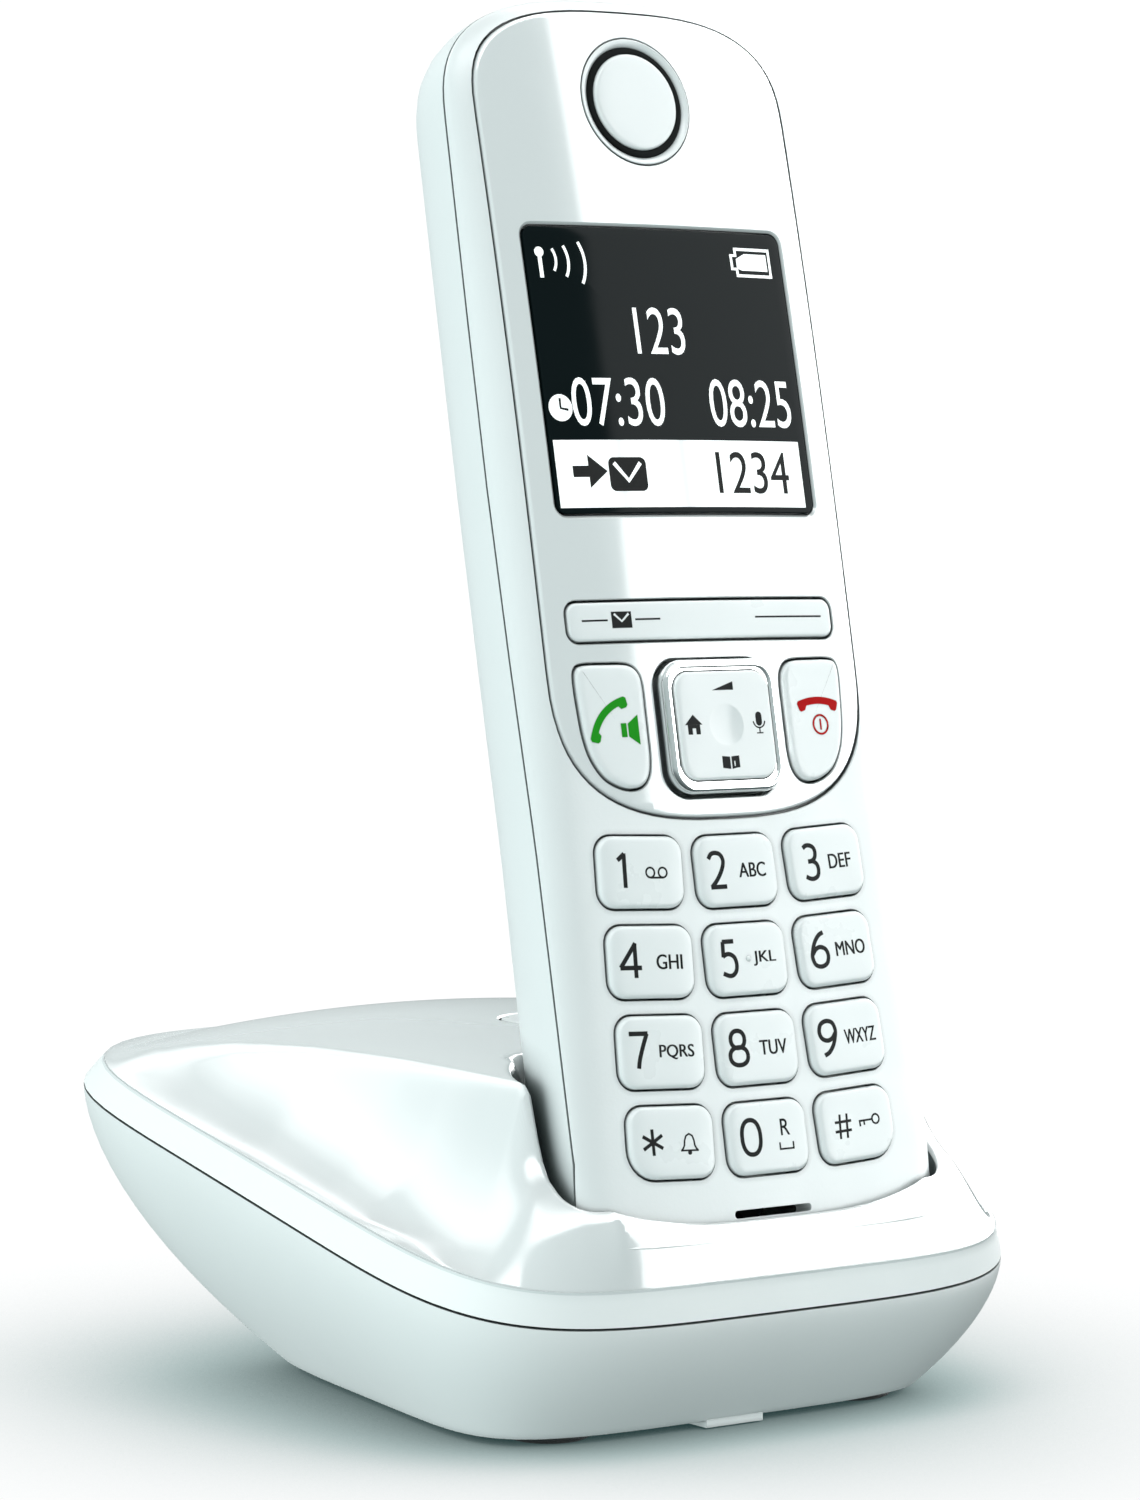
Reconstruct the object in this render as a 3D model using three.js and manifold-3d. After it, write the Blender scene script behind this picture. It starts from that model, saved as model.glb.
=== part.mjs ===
// Cordless telephone handset standing in its charging base.
// Millimetres, +Z up, +X to the user's right, front faces -Y.
// The origin is under the middle of the base, on the surface it stands on.
import * as THREE from 'three';
import Module from 'manifold-3d';
import { mergeVertices } from 'three/addons/utils/BufferGeometryUtils.js';

const wasm = await Module();
wasm.setup();

// ---------------------------------------------------------------- driving dimensions
const LEAN_DEG = 11.15;          // backward lean of the handset in the cradle
const HS_Y = -38.36;             // handset frame origin (middle of the keypad, on the face)
const HS_Z = 48.0;

const HW = 24.45;                // handset half width
const HW_GROW = 0.014;           // extra half width per mm below the keypad top
const V_TOP = 117.0;             // handset top end
const V_TOPC = 102.0;            // where the top rounding starts
const V_BOT = -31.0;             // handset bottom end
const V_BOTC = -21.0;            // where the bottom rounding starts
const BACK_N = -23.5;            // handset back face depth
const EDGE_W = 4.0;              // width of the rounded front edge
const WALL = 1.8;                // handset wall
const FACE_WALL = 2.8;           // wall behind the face
const PANEL_T = 1.2;             // gloss panel thickness
const GAP = 0.3;                 // clearance between neighbouring pieces

const KEY_PITCH_X = 13.02, KEY_PITCH_Y = 10.04;
const KEY_W = 11.17, KEY_H = 8.09, KEY_R = 2.0;
const KEY_SIDE_UP = 0.434, KEY_SIDE_TURN = 2.92;   // outer columns: lift, and turn in degrees
const KEY_PROUD = 0.75;

const DISP_W = 36.47, DISP_V0 = 56.0, DISP_V1 = 89.32;
const EAR_V = 104.42, EAR_R_BEZEL = 7.5, EAR_R_SLOT = 6.6, EAR_R_DISC = 5.77;

const SOFT_HW = 18.65, SOFT_V0 = 41.6, SOFT_V1 = 46.0;
const NAV_V = 31.45, NAV_W = 15.8, NAV_H = 15.3, PAD_W = 13.4, PAD_H = 12.4;

const RIM_A = 44.26, RIM_B = 45.72, RIM_T = 0.07, RIM_P = 4.114, RIM_Q = 5.636;
const RIM_Z = 25.87, RIM_K = 0.247, RIM_C = -0.265;       // parting line height along the base
const IN_A = 42.26, IN_B = 43.72, IN_P = 5.2, IN_Y = -1.4, IN_Z = 29.67, IN_K = 0.238;
const BOT_A = 28.6, BOT_B = 33.1, BOT_T = -0.175, BOT_P = 4.4, BOT_Q = 5.6, BOT_Y = -3.56, BOT_Z = 0.85;
const HULL_POW = 1.65;
const BASE_WALL = 2.0;

const CELL_R = 5.25, CELL_L = 44.5;       // AAA cell

// ---------------------------------------------------------------- small helpers
const D2R = Math.PI / 180;
const lerp = (a, b, t) => a + (b - a) * t;
const clamp = (x, a, b) => Math.min(b, Math.max(a, x));
const spow = (c, e) => Math.sign(c) * Math.pow(Math.abs(c), e);

function table(xs, ys) {
  return (x) => {
    if (x <= xs[0]) return ys[0];
    for (let i = 1; i < xs.length; i++) if (x <= xs[i]) return lerp(ys[i - 1], ys[i], (x - xs[i - 1]) / (xs[i] - xs[i - 1]));
    return ys[ys.length - 1];
  };
}

// a closed solid from points and triangles; turned outwards if it came inside out
function solidFrom(points, tris) {
  const vp = new Float32Array(points.length * 3);
  points.forEach((p, i) => { vp[3 * i] = p[0]; vp[3 * i + 1] = p[1]; vp[3 * i + 2] = p[2]; });
  let vol = 0;
  for (const [a, b, c] of tris) {
    const A = points[a], B = points[b], C = points[c];
    vol += A[0] * (B[1] * C[2] - B[2] * C[1]) + A[1] * (B[2] * C[0] - B[0] * C[2]) + A[2] * (B[0] * C[1] - B[1] * C[0]);
  }
  const flat = new Uint32Array(tris.length * 3);
  tris.forEach((t, i) => { flat[3 * i] = t[0]; flat[3 * i + 1] = vol < 0 ? t[2] : t[1]; flat[3 * i + 2] = vol < 0 ? t[1] : t[2]; });
  return new wasm.Manifold(new wasm.Mesh({ numProp: 3, vertProperties: vp, triVerts: flat }));
}

function solidOf(geometry, matrix) {
  let g = geometry.clone();
  g.deleteAttribute('normal');
  g.deleteAttribute('uv');
  if (matrix) g.applyMatrix4(matrix);
  g = mergeVertices(g, 1e-4);
  const pos = g.attributes.position, pts = [];
  for (let i = 0; i < pos.count; i++) pts.push([pos.getX(i), pos.getY(i), pos.getZ(i)]);
  const idx = g.index.array, tris = [];
  for (let i = 0; i < idx.length; i += 3) {
    const [a, b, c] = [idx[i], idx[i + 1], idx[i + 2]];
    if (a !== b && b !== c && a !== c) tris.push([a, b, c]);
  }
  return solidFrom(pts, tris);
}

function meshOf(solid, name, colour, roughness, metalness) {
  const m = solid.getMesh(), n = m.vertProperties.length / m.numProp;
  const pos = new Float32Array(n * 3);
  for (let i = 0; i < n; i++) for (let k = 0; k < 3; k++) pos[3 * i + k] = m.vertProperties[i * m.numProp + k];
  const g = new THREE.BufferGeometry();
  g.setAttribute('position', new THREE.BufferAttribute(pos, 3));
  g.setIndex(Array.from(m.triVerts));
  g.computeVertexNormals();
  const mesh = new THREE.Mesh(g, new THREE.MeshStandardMaterial({ color: colour, roughness, metalness }));
  mesh.name = name;
  return mesh;
}

// rings of equal length joined in order and closed at both ends with a fan
function loft(rings) {
  const n = rings[0].length, pts = [], tris = [];
  for (const r of rings) for (const p of r) pts.push(p);
  for (let j = 0; j + 1 < rings.length; j++) for (let i = 0; i < n; i++) {
    const a = j * n + i, b = j * n + (i + 1) % n, c = a + n, d = b + n;
    tris.push([a, b, d], [a, d, c]);
  }
  const fan = (j, flip) => {
    const c = [0, 0, 0];
    for (const p of rings[j]) for (let k = 0; k < 3; k++) c[k] += p[k] / n;
    pts.push(c);
    const ci = pts.length - 1;
    for (let i = 0; i < n; i++) {
      const a = j * n + i, b = j * n + (i + 1) % n;
      tris.push(flip ? [ci, b, a] : [ci, a, b]);
    }
  };
  fan(0, true);
  fan(rings.length - 1, false);
  return solidFrom(pts, tris);
}

// slab between two height functions over a grid
function fieldSlab(us, vs, top, bottom) {
  const nu = us.length, nv = vs.length, pts = [], tris = [];
  for (const f of [top, bottom]) for (const v of vs) for (const u of us) pts.push([u, v, f(u, v)]);
  const at = (k, j, i) => k * nu * nv + j * nu + i;
  for (let j = 0; j + 1 < nv; j++) for (let i = 0; i + 1 < nu; i++) {
    tris.push([at(0, j, i), at(0, j, i + 1), at(0, j + 1, i + 1)], [at(0, j, i), at(0, j + 1, i + 1), at(0, j + 1, i)]);
    tris.push([at(1, j, i), at(1, j + 1, i + 1), at(1, j, i + 1)], [at(1, j, i), at(1, j + 1, i), at(1, j + 1, i + 1)]);
  }
  const wall = (a, b) => { const c = a + nu * nv, d = b + nu * nv; tris.push([a, c, b], [b, c, d]); };
  for (let i = 0; i + 1 < nu; i++) { wall(at(0, 0, i), at(0, 0, i + 1)); wall(at(0, nv - 1, i + 1), at(0, nv - 1, i)); }
  for (let j = 0; j + 1 < nv; j++) { wall(at(0, j, nu - 1), at(0, j + 1, nu - 1)); wall(at(0, j + 1, 0), at(0, j, 0)); }
  return solidFrom(pts, tris);
}

// prism with a polygon outline in the (x, y) plane, from z0 to z1
function prism(outline, z0, z1, matrix) {
  const shape = new THREE.Shape(outline.map(([x, y]) => new THREE.Vector2(x, y)));
  const g = new THREE.ExtrudeGeometry(shape, { depth: z1 - z0, bevelEnabled: false, steps: 1 });
  const m = new THREE.Matrix4().makeTranslation(0, 0, z0);
  if (matrix) m.premultiply(matrix);
  return solidOf(g, m);
}

function box(x0, x1, y0, y1, z0, z1) {
  const g = new THREE.BoxGeometry(x1 - x0, y1 - y0, z1 - z0);
  return solidOf(g, new THREE.Matrix4().makeTranslation((x0 + x1) / 2, (y0 + y1) / 2, (z0 + z1) / 2));
}

// round stock along Z from z0 to z1
function rod(x, y, z0, z1, r, sides = 20) {
  const g = new THREE.CylinderGeometry(r, r, z1 - z0, sides);
  const m = new THREE.Matrix4().makeTranslation(x, y, (z0 + z1) / 2).multiply(new THREE.Matrix4().makeRotationX(Math.PI / 2));
  return solidOf(g, m);
}

// turned profile about Z: list of [radius, z] that starts and ends on the axis
function turned(profile, sides, matrix) {
  const g = new THREE.LatheGeometry(profile.map(([r, z]) => new THREE.Vector2(r, z)), sides);
  const m = new THREE.Matrix4().makeRotationX(Math.PI / 2);
  if (matrix) m.premultiply(matrix);
  return solidOf(g, m);
}

const arcPoints = (cx, cy, r, a0, a1, n) => Array.from({ length: n + 1 }, (_, i) => {
  const a = (a0 + (a1 - a0) * i / n) * D2R;
  return [cx + r * Math.cos(a), cy + r * Math.sin(a)];
});

// rectangle with corner radii [top right, top left, bottom left, bottom right], counter-clockwise
function roundRect(cx, cy, w, h, radii, turn = 0, seg = 2) {
  const r = Array.isArray(radii) ? radii : [radii, radii, radii, radii];
  const x = w / 2, y = h / 2;
  const p = [
    ...arcPoints(x - r[0], y - r[0], r[0], 0, 90, seg),
    ...arcPoints(-x + r[1], y - r[1], r[1], 90, 180, seg),
    ...arcPoints(-x + r[2], -y + r[2], r[2], 180, 270, seg),
    ...arcPoints(x - r[3], -y + r[3], r[3], 270, 360, seg),
  ];
  const c = Math.cos(turn * D2R), s = Math.sin(turn * D2R);
  return p.map(([a, b]) => [cx + a * c - b * s, cy + a * s + b * c]);
}

// outline grown outwards by d
function grow(outline, d) {
  const n = outline.length;
  let area = 0;
  for (let i = 0; i < n; i++) { const a = outline[i], b = outline[(i + 1) % n]; area += a[0] * b[1] - a[1] * b[0]; }
  const s = area > 0 ? 1 : -1;
  return outline.map((p, i) => {
    const a = outline[(i + n - 1) % n], b = outline[(i + 1) % n];
    const e1 = [p[0] - a[0], p[1] - a[1]], e2 = [b[0] - p[0], b[1] - p[1]];
    const l1 = Math.hypot(...e1) || 1, l2 = Math.hypot(...e2) || 1;
    let nx = s * (e1[1] / l1 + e2[1] / l2), ny = -s * (e1[0] / l1 + e2[0] / l2);
    const l = Math.hypot(nx, ny) || 1;
    nx /= l; ny /= l;
    const cosHalf = nx * s * e1[1] / l1 - ny * s * e1[0] / l1;
    const k = d / Math.max(cosHalf, 0.5);
    return [p[0] + nx * k, p[1] + ny * k];
  });
}

const add = (...s) => s.reduce((a, b) => a.add(b));
const cut = (a, ...s) => s.reduce((r, b) => r.subtract(b), a);

// ================================================================ HANDSET
// local frame: x across, y along the handset towards the earpiece, z out of the face
const face = (u, v) => -0.002 * u * u - 0.00055 * Math.max(v - 50, 0) ** 2 - 0.028 * Math.max(-22 - v, 0) ** 2;
const halfWidth = (v) => HW + HW_GROW * clamp(20 - v, 0, 41);
const partN = table([-31, -24, -16, 0, 18, 40, 60, 80, 117], [-5.2, -3.2, -2.3, -2.8, -3.4, -4.4, -5.0, -5.1, -5.0]);
const SEC_P = 2.3;

const SIDE_V = [-12, 0, 18, 36, 54, 72, 88];
const SIDE_COARSE = [-12, 18, 54, 88];
// half outline (x >= 0) from the bottom middle to the top middle, inset by d
function halfOutline(d, coarse = false) {
  const out = [];
  const bb = (V_BOTC - V_BOT) - Math.min(d, 8), tb = (V_TOP - V_TOPC) - Math.min(d, 12);
  const vb = V_BOTC + Math.max(0, d - 8), vt = V_TOPC - Math.max(0, d - 12);
  for (const t of coarse ? [-90, -45, 0] : [-90, -66, -44, -22, 0]) {
    const c = Math.cos(t * D2R), s = Math.sin(t * D2R);
    out.push([(halfWidth(V_BOTC) - d) * spow(c, 2 / 3), vb + bb * spow(s, 2 / 3)]);
  }
  for (const v of coarse ? SIDE_COARSE : SIDE_V) out.push([halfWidth(v) - d, clamp(v, vb + 0.5, vt - 0.5)]);
  for (const t of coarse ? [0, 30, 60, 90] : [0, 15, 30, 45, 60, 75, 90]) {
    const c = Math.cos(t * D2R), s = Math.sin(t * D2R);
    out.push([(HW - d) * spow(c, 2 / 2.75), vt + tb * spow(s, 2 / 2.75)]);
  }
  out[0][0] = 0;
  out[out.length - 1][0] = 0;
  return out;
}

// body with the handset's outer form, shrunk by w on the sides and back and by f behind the face
function handsetBody(w, f, coarse = false) {
  const half0 = halfOutline(w, coarse);
  const m = half0.length;                       // points on one half, ends on the middle line
  const ringAt = (d, nf) => {
    const h = halfOutline(d, coarse);
    const right = h.map(([u, v]) => [u, v, nf(u, v)]);
    const left = h.slice(1, m - 1).reverse().map(([u, v]) => [-u, v, nf(-u, v)]);
    return [...right, ...left];
  };
  const rings = [];
  const backTop = (v) => BACK_N + w;
  for (const t of coarse ? [78, 55, 30] : [80, 66, 52, 38, 22]) {
    const c = Math.pow(Math.cos(t * D2R), 2 / SEC_P), s = Math.pow(Math.sin(t * D2R), 2 / SEC_P);
    rings.push(ringAt(w + (HW - w) * (1 - c), (u, v) => lerp(partN(v), backTop(v), s)));
  }
  rings.push(ringAt(w, (u, v) => partN(v)));
  for (const t of coarse ? [50, 90] : [32, 62, 90]) {
    const d = w + EDGE_W * (1 - Math.cos(t * D2R)), s = Math.sin(t * D2R);
    rings.push(ringAt(d, (u, v) => lerp(partN(v), Math.max(face(u, v) - f, partN(v) + 0.05), s)));
  }
  const n = rings[0].length, pts = [], tris = [];
  for (const r of rings) for (const p of r) pts.push(p);
  for (let j = 0; j + 1 < rings.length; j++) for (let i = 0; i < n; i++) {
    const a = j * n + i, b = j * n + (i + 1) % n, c = a + n, d = b + n;
    tris.push([a, b, d], [a, d, c]);
  }
  // ends closed with a ladder of strips across, so that the face keeps its curvature
  const ladder = (j, flip, nf, cols) => {
    const R = (k) => j * n + k, L = (k) => j * n + (n - k) % n;
    let prev = null;
    for (let k = 0; k < m; k++) {
      let row;
      if (k === 0 || k === m - 1) row = [R(k)];
      else {
        row = [L(k)];
        const p = pts[L(k)], q = pts[R(k)];
        for (let c = 1; c < cols; c++) {
          const u = lerp(p[0], q[0], c / cols), v = p[1];
          pts.push([u, v, nf ? nf(u, v) : lerp(p[2], q[2], c / cols)]);
          row.push(pts.length - 1);
        }
        row.push(R(k));
      }
      if (prev) {
        if (prev.length === 1) for (let c = 0; c + 1 < row.length; c++) tris.push(flip ? [prev[0], row[c + 1], row[c]] : [prev[0], row[c], row[c + 1]]);
        else if (row.length === 1) for (let c = 0; c + 1 < prev.length; c++) tris.push(flip ? [prev[c], prev[c + 1], row[0]] : [prev[c + 1], prev[c], row[0]]);
        else for (let c = 0; c + 1 < row.length; c++) {
          if (flip) tris.push([prev[c], prev[c + 1], row[c + 1]], [prev[c], row[c + 1], row[c]]);
          else tris.push([prev[c + 1], prev[c], row[c]], [prev[c + 1], row[c], row[c + 1]]);
        }
      }
      prev = row;
    }
  };
  ladder(0, false, null, 1);
  ladder(rings.length - 1, true, (u, v) => Math.max(face(u, v) - f, partN(v) + 0.05), coarse ? 2 : 4);
  return solidFrom(pts, tris);
}

// region in front of the parting line (shift moves it along the face normal)
function frontRegion(shift) {
  const vs = [-40, -31, -24, -16, 0, 18, 40, 60, 80, 117, 125];
  const poly = vs.map((v) => [v, partN(v) + shift]);
  poly.push([125, 12], [-40, 12]);
  // outline is in (v, n): extrude along u
  const m = new THREE.Matrix4().makeBasis(new THREE.Vector3(0, 1, 0), new THREE.Vector3(0, 0, 1), new THREE.Vector3(1, 0, 0));
  return prism(poly, -32, 32, m);
}

const outer = handsetBody(0, 0);
const inner = handsetBody(WALL, FACE_WALL, true);
const hollow = outer.subtract(inner);
// the wall behind the keys belongs to the front shell even where it is deeper than the parting line
const mirrored = (half) => [...half, ...half.slice(1, -1).reverse().map(([u, v]) => [-u, v])];
const behindKeys = (d, n0) => prism(mirrored(halfOutline(d, true)), n0, 12);
const frontHalf = hollow.intersect(frontRegion(GAP / 2).add(behindKeys(3.0, -6.2)));
const backHalf = hollow.subtract(frontRegion(-GAP / 2).add(behindKeys(2.7, -6.5)));

// gloss panel outline: round top, softly rounded lower end
function panelOutline(d) {
  const a = 21.75 + d, out = [];
  for (let t = 0; t <= 90; t += 15) out.push([a * spow(Math.cos(t * D2R), 2 / 3), 102 + (13.1 + d) * spow(Math.sin(t * D2R), 2 / 3)]);
  for (let t = 105; t <= 180; t += 15) out.push([a * spow(Math.cos(t * D2R), 2 / 3), 102 + (13.1 + d) * spow(Math.sin(t * D2R), 2 / 3)]);
  for (let t = 180; t <= 360; t += 15) out.push([a * spow(Math.cos(t * D2R), 2 / 2.8), 38.5 + (17.3 + d) * spow(Math.sin(t * D2R), 2 / 2.8)]);
  return out;
}
const US = [-26, -18, -9, 0, 9, 18, 26];
const VS = [15, 50, 64, 78, 92, 106, 122];
const skin = (top, bottom, us = US, vs = VS) => fieldSlab(us, vs, (u, v) => face(u, v) + top, (u, v) => face(u, v) + bottom);

// outlines of the openings and of what fills them
const displayOutline = (d) => roundRect(0, (DISP_V0 + DISP_V1) / 2, DISP_W + 2 * d, DISP_V1 - DISP_V0 + 2 * d, 1.3 + d);
const softOutline = (d) => roundRect(0, (SOFT_V0 + SOFT_V1) / 2, 2 * (SOFT_HW + d), SOFT_V1 - SOFT_V0 + 2 * d, 1.3 + d);
const navOutline = (d, w = NAV_W, h = NAV_H, r = 3.0) => roundRect(0, NAV_V, w + 2 * d, h + 2 * d, r + d);
const TALK = [[-9.9, 29.0], [-9.9, 36.6], [-10.4, 38.0], [-12.0, 38.85], [-17.5, 38.9], [-18.4, 38.4], [-18.55, 35.5],
  [-18.15, 30.9], [-17.6, 28.7], [-16.2, 26.4], [-14.0, 25.15], [-12.5, 24.9], [-11.0, 25.35], [-10.1, 26.8]];
const END = TALK.map(([x, y]) => [-x, y]).reverse();
const earFrame = (dn) => new THREE.Matrix4().makeTranslation(0, EAR_V, face(0, EAR_V)).multiply(
  new THREE.Matrix4().makeRotationX(-Math.atan(2 * 0.00055 * (EAR_V - 50)))).multiply(new THREE.Matrix4().makeTranslation(0, 0, dn));

const KEYS = [];
const KEY_NAMES = [['key_1', 'key_2', 'key_3'], ['key_4', 'key_5', 'key_6'], ['key_7', 'key_8', 'key_9'], ['key_star', 'key_0', 'key_hash']];
for (let r = 0; r < 4; r++) for (let c = 0; c < 3; c++) {
  const side = c - 1;
  KEYS.push({
    name: KEY_NAMES[r][c], u: side * KEY_PITCH_X, v: (1.5 - r) * KEY_PITCH_Y + (side ? KEY_SIDE_UP : 0), turn: side * KEY_SIDE_TURN,
    radii: [KEY_R, KEY_R, r === 3 && side < 0 ? 3.4 : KEY_R, r === 3 && side > 0 ? 3.4 : KEY_R],
  });
}
const keyOutline = (k, d) => roundRect(k.u, k.v, KEY_W + 2 * d, KEY_H + 2 * d, k.radii.map((x) => x + d), k.turn);

// ---- front shell
const screwAt = [[-13.5, 97], [13.5, 97]];
let frontShell = frontHalf.subtract(prism(panelOutline(0.25), -8, 8).intersect(skin(4, -PANEL_T - GAP)));
for (const [x, y] of screwAt) frontShell = frontShell.add(rod(x, y, -6.7, -3.7, 2.7, 14)).subtract(rod(x, y, -9, -4.2, 1.15, 10));
frontShell = cut(frontShell,
  prism(roundRect(0, 72.66, 33, 29.4, 1.0), -9, 3),
  rod(0, EAR_V, -9, 2, 4.6, 20),
  prism(softOutline(0.3), -9, 4),
  prism(navOutline(0.4), -9, 4),
  prism(grow(TALK, 0.3), -9, 4),
  prism(grow(END, 0.3), -9, 4),
  prism(roundRect(0, -23.3, 10.8, 0.9, 0.4), -9, 3));
for (const k of KEYS) frontShell = frontShell.subtract(prism(keyOutline(k, GAP), -9, 4));

// ---- gloss panel, its window and earpiece
let panel = prism(panelOutline(0), -8, 8).intersect(skin(0, -PANEL_T));
panel = cut(panel,
  prism(displayOutline(0.15), -9, 4),
  turned([[0, -6], [EAR_R_BEZEL + 0.2, -6], [EAR_R_BEZEL + 0.2, 4], [0, 4]], 28, earFrame(0)),
  prism(softOutline(0.3), -9, 4),
  prism(navOutline(0.4), -9, 4),
  prism(grow(TALK, 0.3), -9, 4),
  prism(grow(END, 0.3), -9, 4));

const windowGlass = prism(displayOutline(-0.15), -8, 8).intersect(fieldSlab([-20, -10, 0, 10, 20], [54, 66, 79, 91], (u, v) => face(u, v) - 0.05, (u, v) => face(u, v) - 1.1));
const lcd = box(-18.2, 18.2, 55, 90, -6.1, -4.95);

const earBezel = turned([[EAR_R_SLOT, -0.9], [EAR_R_BEZEL, -0.9], [EAR_R_BEZEL, 0], [EAR_R_BEZEL - 0.2, 0.05], [EAR_R_SLOT, -0.45], [EAR_R_SLOT, -0.9]], 28, earFrame(0));
const earMesh = turned([[3.9, -1.22], [7.2, -1.22], [7.2, -1.04], [3.9, -1.04], [3.9, -1.22]], 28, earFrame(0));
const earDisc = turned([[0, -2.6], [3.6, -2.6], [3.6, -0.9], [EAR_R_DISC, -0.9], [EAR_R_DISC, -0.25], [EAR_R_DISC - 0.35, 0.08], [0, 0.16]], 28, earFrame(0));
const receiver = turned([[0, -5.4], [6.6, -5.4], [6.6, -3.5], [0, -3.5]], 20, earFrame(0));

// ---- keys
const keySolid = (k) => {
  const n = face(k.u, k.v);
  return add(prism(keyOutline(k, -0.55), n + KEY_PROUD - 0.45, n + KEY_PROUD), prism(keyOutline(k, 0), n - 3.4, n + KEY_PROUD - 0.44), prism(keyOutline(k, 0.42), n - 4.1, n - 3.3));
};
const talkKey = add(prism(TALK, -3.9, 0.25), prism(grow(TALK, -0.5), 0.2, 0.6));
const endKey = add(prism(END, -3.9, 0.25), prism(grow(END, -0.5), 0.2, 0.6));
const softKey = add(prism(softOutline(0), -3.6, -0.15), prism(softOutline(-0.45), -0.2, 0.2));
const navFrame = prism(navOutline(0), -1.2, 0.9).add(prism(navOutline(-0.5), 0.8, 1.5)).subtract(prism(navOutline(0.15, PAD_W, PAD_H, 2.2), -3, 3));
const navPad = prism(navOutline(0, PAD_W, PAD_H, 2.2), -1.2, 1.7).add(prism(navOutline(-1, PAD_W, PAD_H, 2.2), -3.5, -1.1));
const navPivot = prism(roundRect(0, NAV_V, 11.6, 10.8, 1.5), -4.5, -4.0);
const keymat = prism(roundRect(0, 13.4, 41.0, 66.5, 3.0), -6.2, -5.25);

// ---- inside the handset
const hsBoard = prism(roundRect(0, 35.8, 40, 115, 6), -7.5, -6.5);
const cellX = 5.6, cellN = -15.1, cellV0 = 11.0;
const cell = (x) => {
  const g = new THREE.LatheGeometry([[0, 0], [CELL_R, 0], [CELL_R, CELL_L - 1], [1.9, CELL_L - 1], [1.9, CELL_L], [0, CELL_L]].map(([r, z]) => new THREE.Vector2(r, z)), 20);
  const m = new THREE.Matrix4().makeTranslation(x, x < 0 ? cellV0 : cellV0 + CELL_L, cellN);
  if (x > 0) m.multiply(new THREE.Matrix4().makeRotationX(Math.PI));
  return solidOf(g, m);
};
const trayFloor = box(-13.0, 13.0, 8.3, 58.0, -9.5, -8.6);
const trayWalls = add(box(-13.0, -11.8, 8.3, 58.0, -18.4, -8.7), box(11.8, 13.0, 8.3, 58.0, -18.4, -8.7),
  box(-13.0, 13.0, 8.3, 9.5, -18.4, -8.7), box(-13.0, 13.0, 56.8, 58.0, -18.4, -8.7));
const trayRibs = add(box(-24, -12.9, 8.3, 9.5, -12.5, -8.7), box(12.9, 24, 8.3, 9.5, -12.5, -8.7),
  box(-24, -12.9, 56.8, 58.0, -12.5, -8.7), box(12.9, 24, 56.8, 58.0, -12.5, -8.7)).intersect(handsetBody(0.6, 1, true));
const contactTop = box(-10.5, 10.5, 55.8, 56.5, -18.6, -10.6);
const contactBottom = box(-10.5, 10.5, 9.8, 10.7, -18.6, -10.6);

const coverOutline = (d) => roundRect(0, 33.2, 31 + 2 * d, 58 + 2 * d, 4 + d);
let backShell = backHalf.subtract(prism(coverOutline(0), -30, -17.5));
const batteryCover = backHalf.intersect(prism(coverOutline(-0.25), -30, -17.8));
backShell = add(backShell, trayFloor, trayWalls, trayRibs);
// holes for the ringer, two screw wells and the charging contacts
for (let i = -2; i <= 2; i++) backShell = backShell.subtract(prism(roundRect(i * 2.6, 84, 1.1, 11 - Math.abs(i) * 1.8, 0.5), -30, -19));
for (const [x, y] of screwAt) {
  const well = prism(roundRect(x, y, 6.4, 6.4, 3.15, 0, 3), -22.5, -7.1).intersect(outer);
  backShell = backShell.add(well).subtract(rod(x, y, -30, -14.0, 2.3, 14)).subtract(rod(x, y, -15, -6, 1.15, 10));
}
const chargeBoxes = [[-11, -7], [7, 11]];
for (const [a, b] of chargeBoxes) backShell = backShell.subtract(box(a - GAP, b + GAP, -34, -25.4, -12.3, -8.7));

const chargeContact = (a, b) => box(a, b, -29.6, -26.4, -12.0, -9.0);
const screw = (x, y) => turned([[0, -15.9], [1.9, -15.9], [1.9, -14.35], [0.85, -14.3], [0.85, -5.2], [0, -4.6]], 14, new THREE.Matrix4().makeTranslation(x, y, 0));
const microphone = rod(0, -22.0, -6.0, -4.2, 2.0, 16);
const ringer = rod(0, 84, -20.2, -16.2, 7.5, 20);

// ================================================================ BASE
function rimRing(a, b, t, p, q, yc, N = 48) {
  const out = [];
  for (let i = 0; i < N; i++) {
    const ph = 2 * Math.PI * (i + 0.5) / N, c = Math.cos(ph), s = Math.sin(ph);
    const y = spow(s, 2 / q);
    out.push([a * (1 + t * y) * spow(c, 2 / p), yc + b * y]);
  }
  return out;
}
const partZ = (y) => RIM_Z + RIM_K * y + RIM_C * (y / 40) ** 2;
const innerZ = (y) => IN_Z + IN_K * y + RIM_C * (y / 40) ** 2;
const innerRing = rimRing(IN_A, IN_B, RIM_T, IN_P, RIM_Q, IN_Y);

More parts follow.
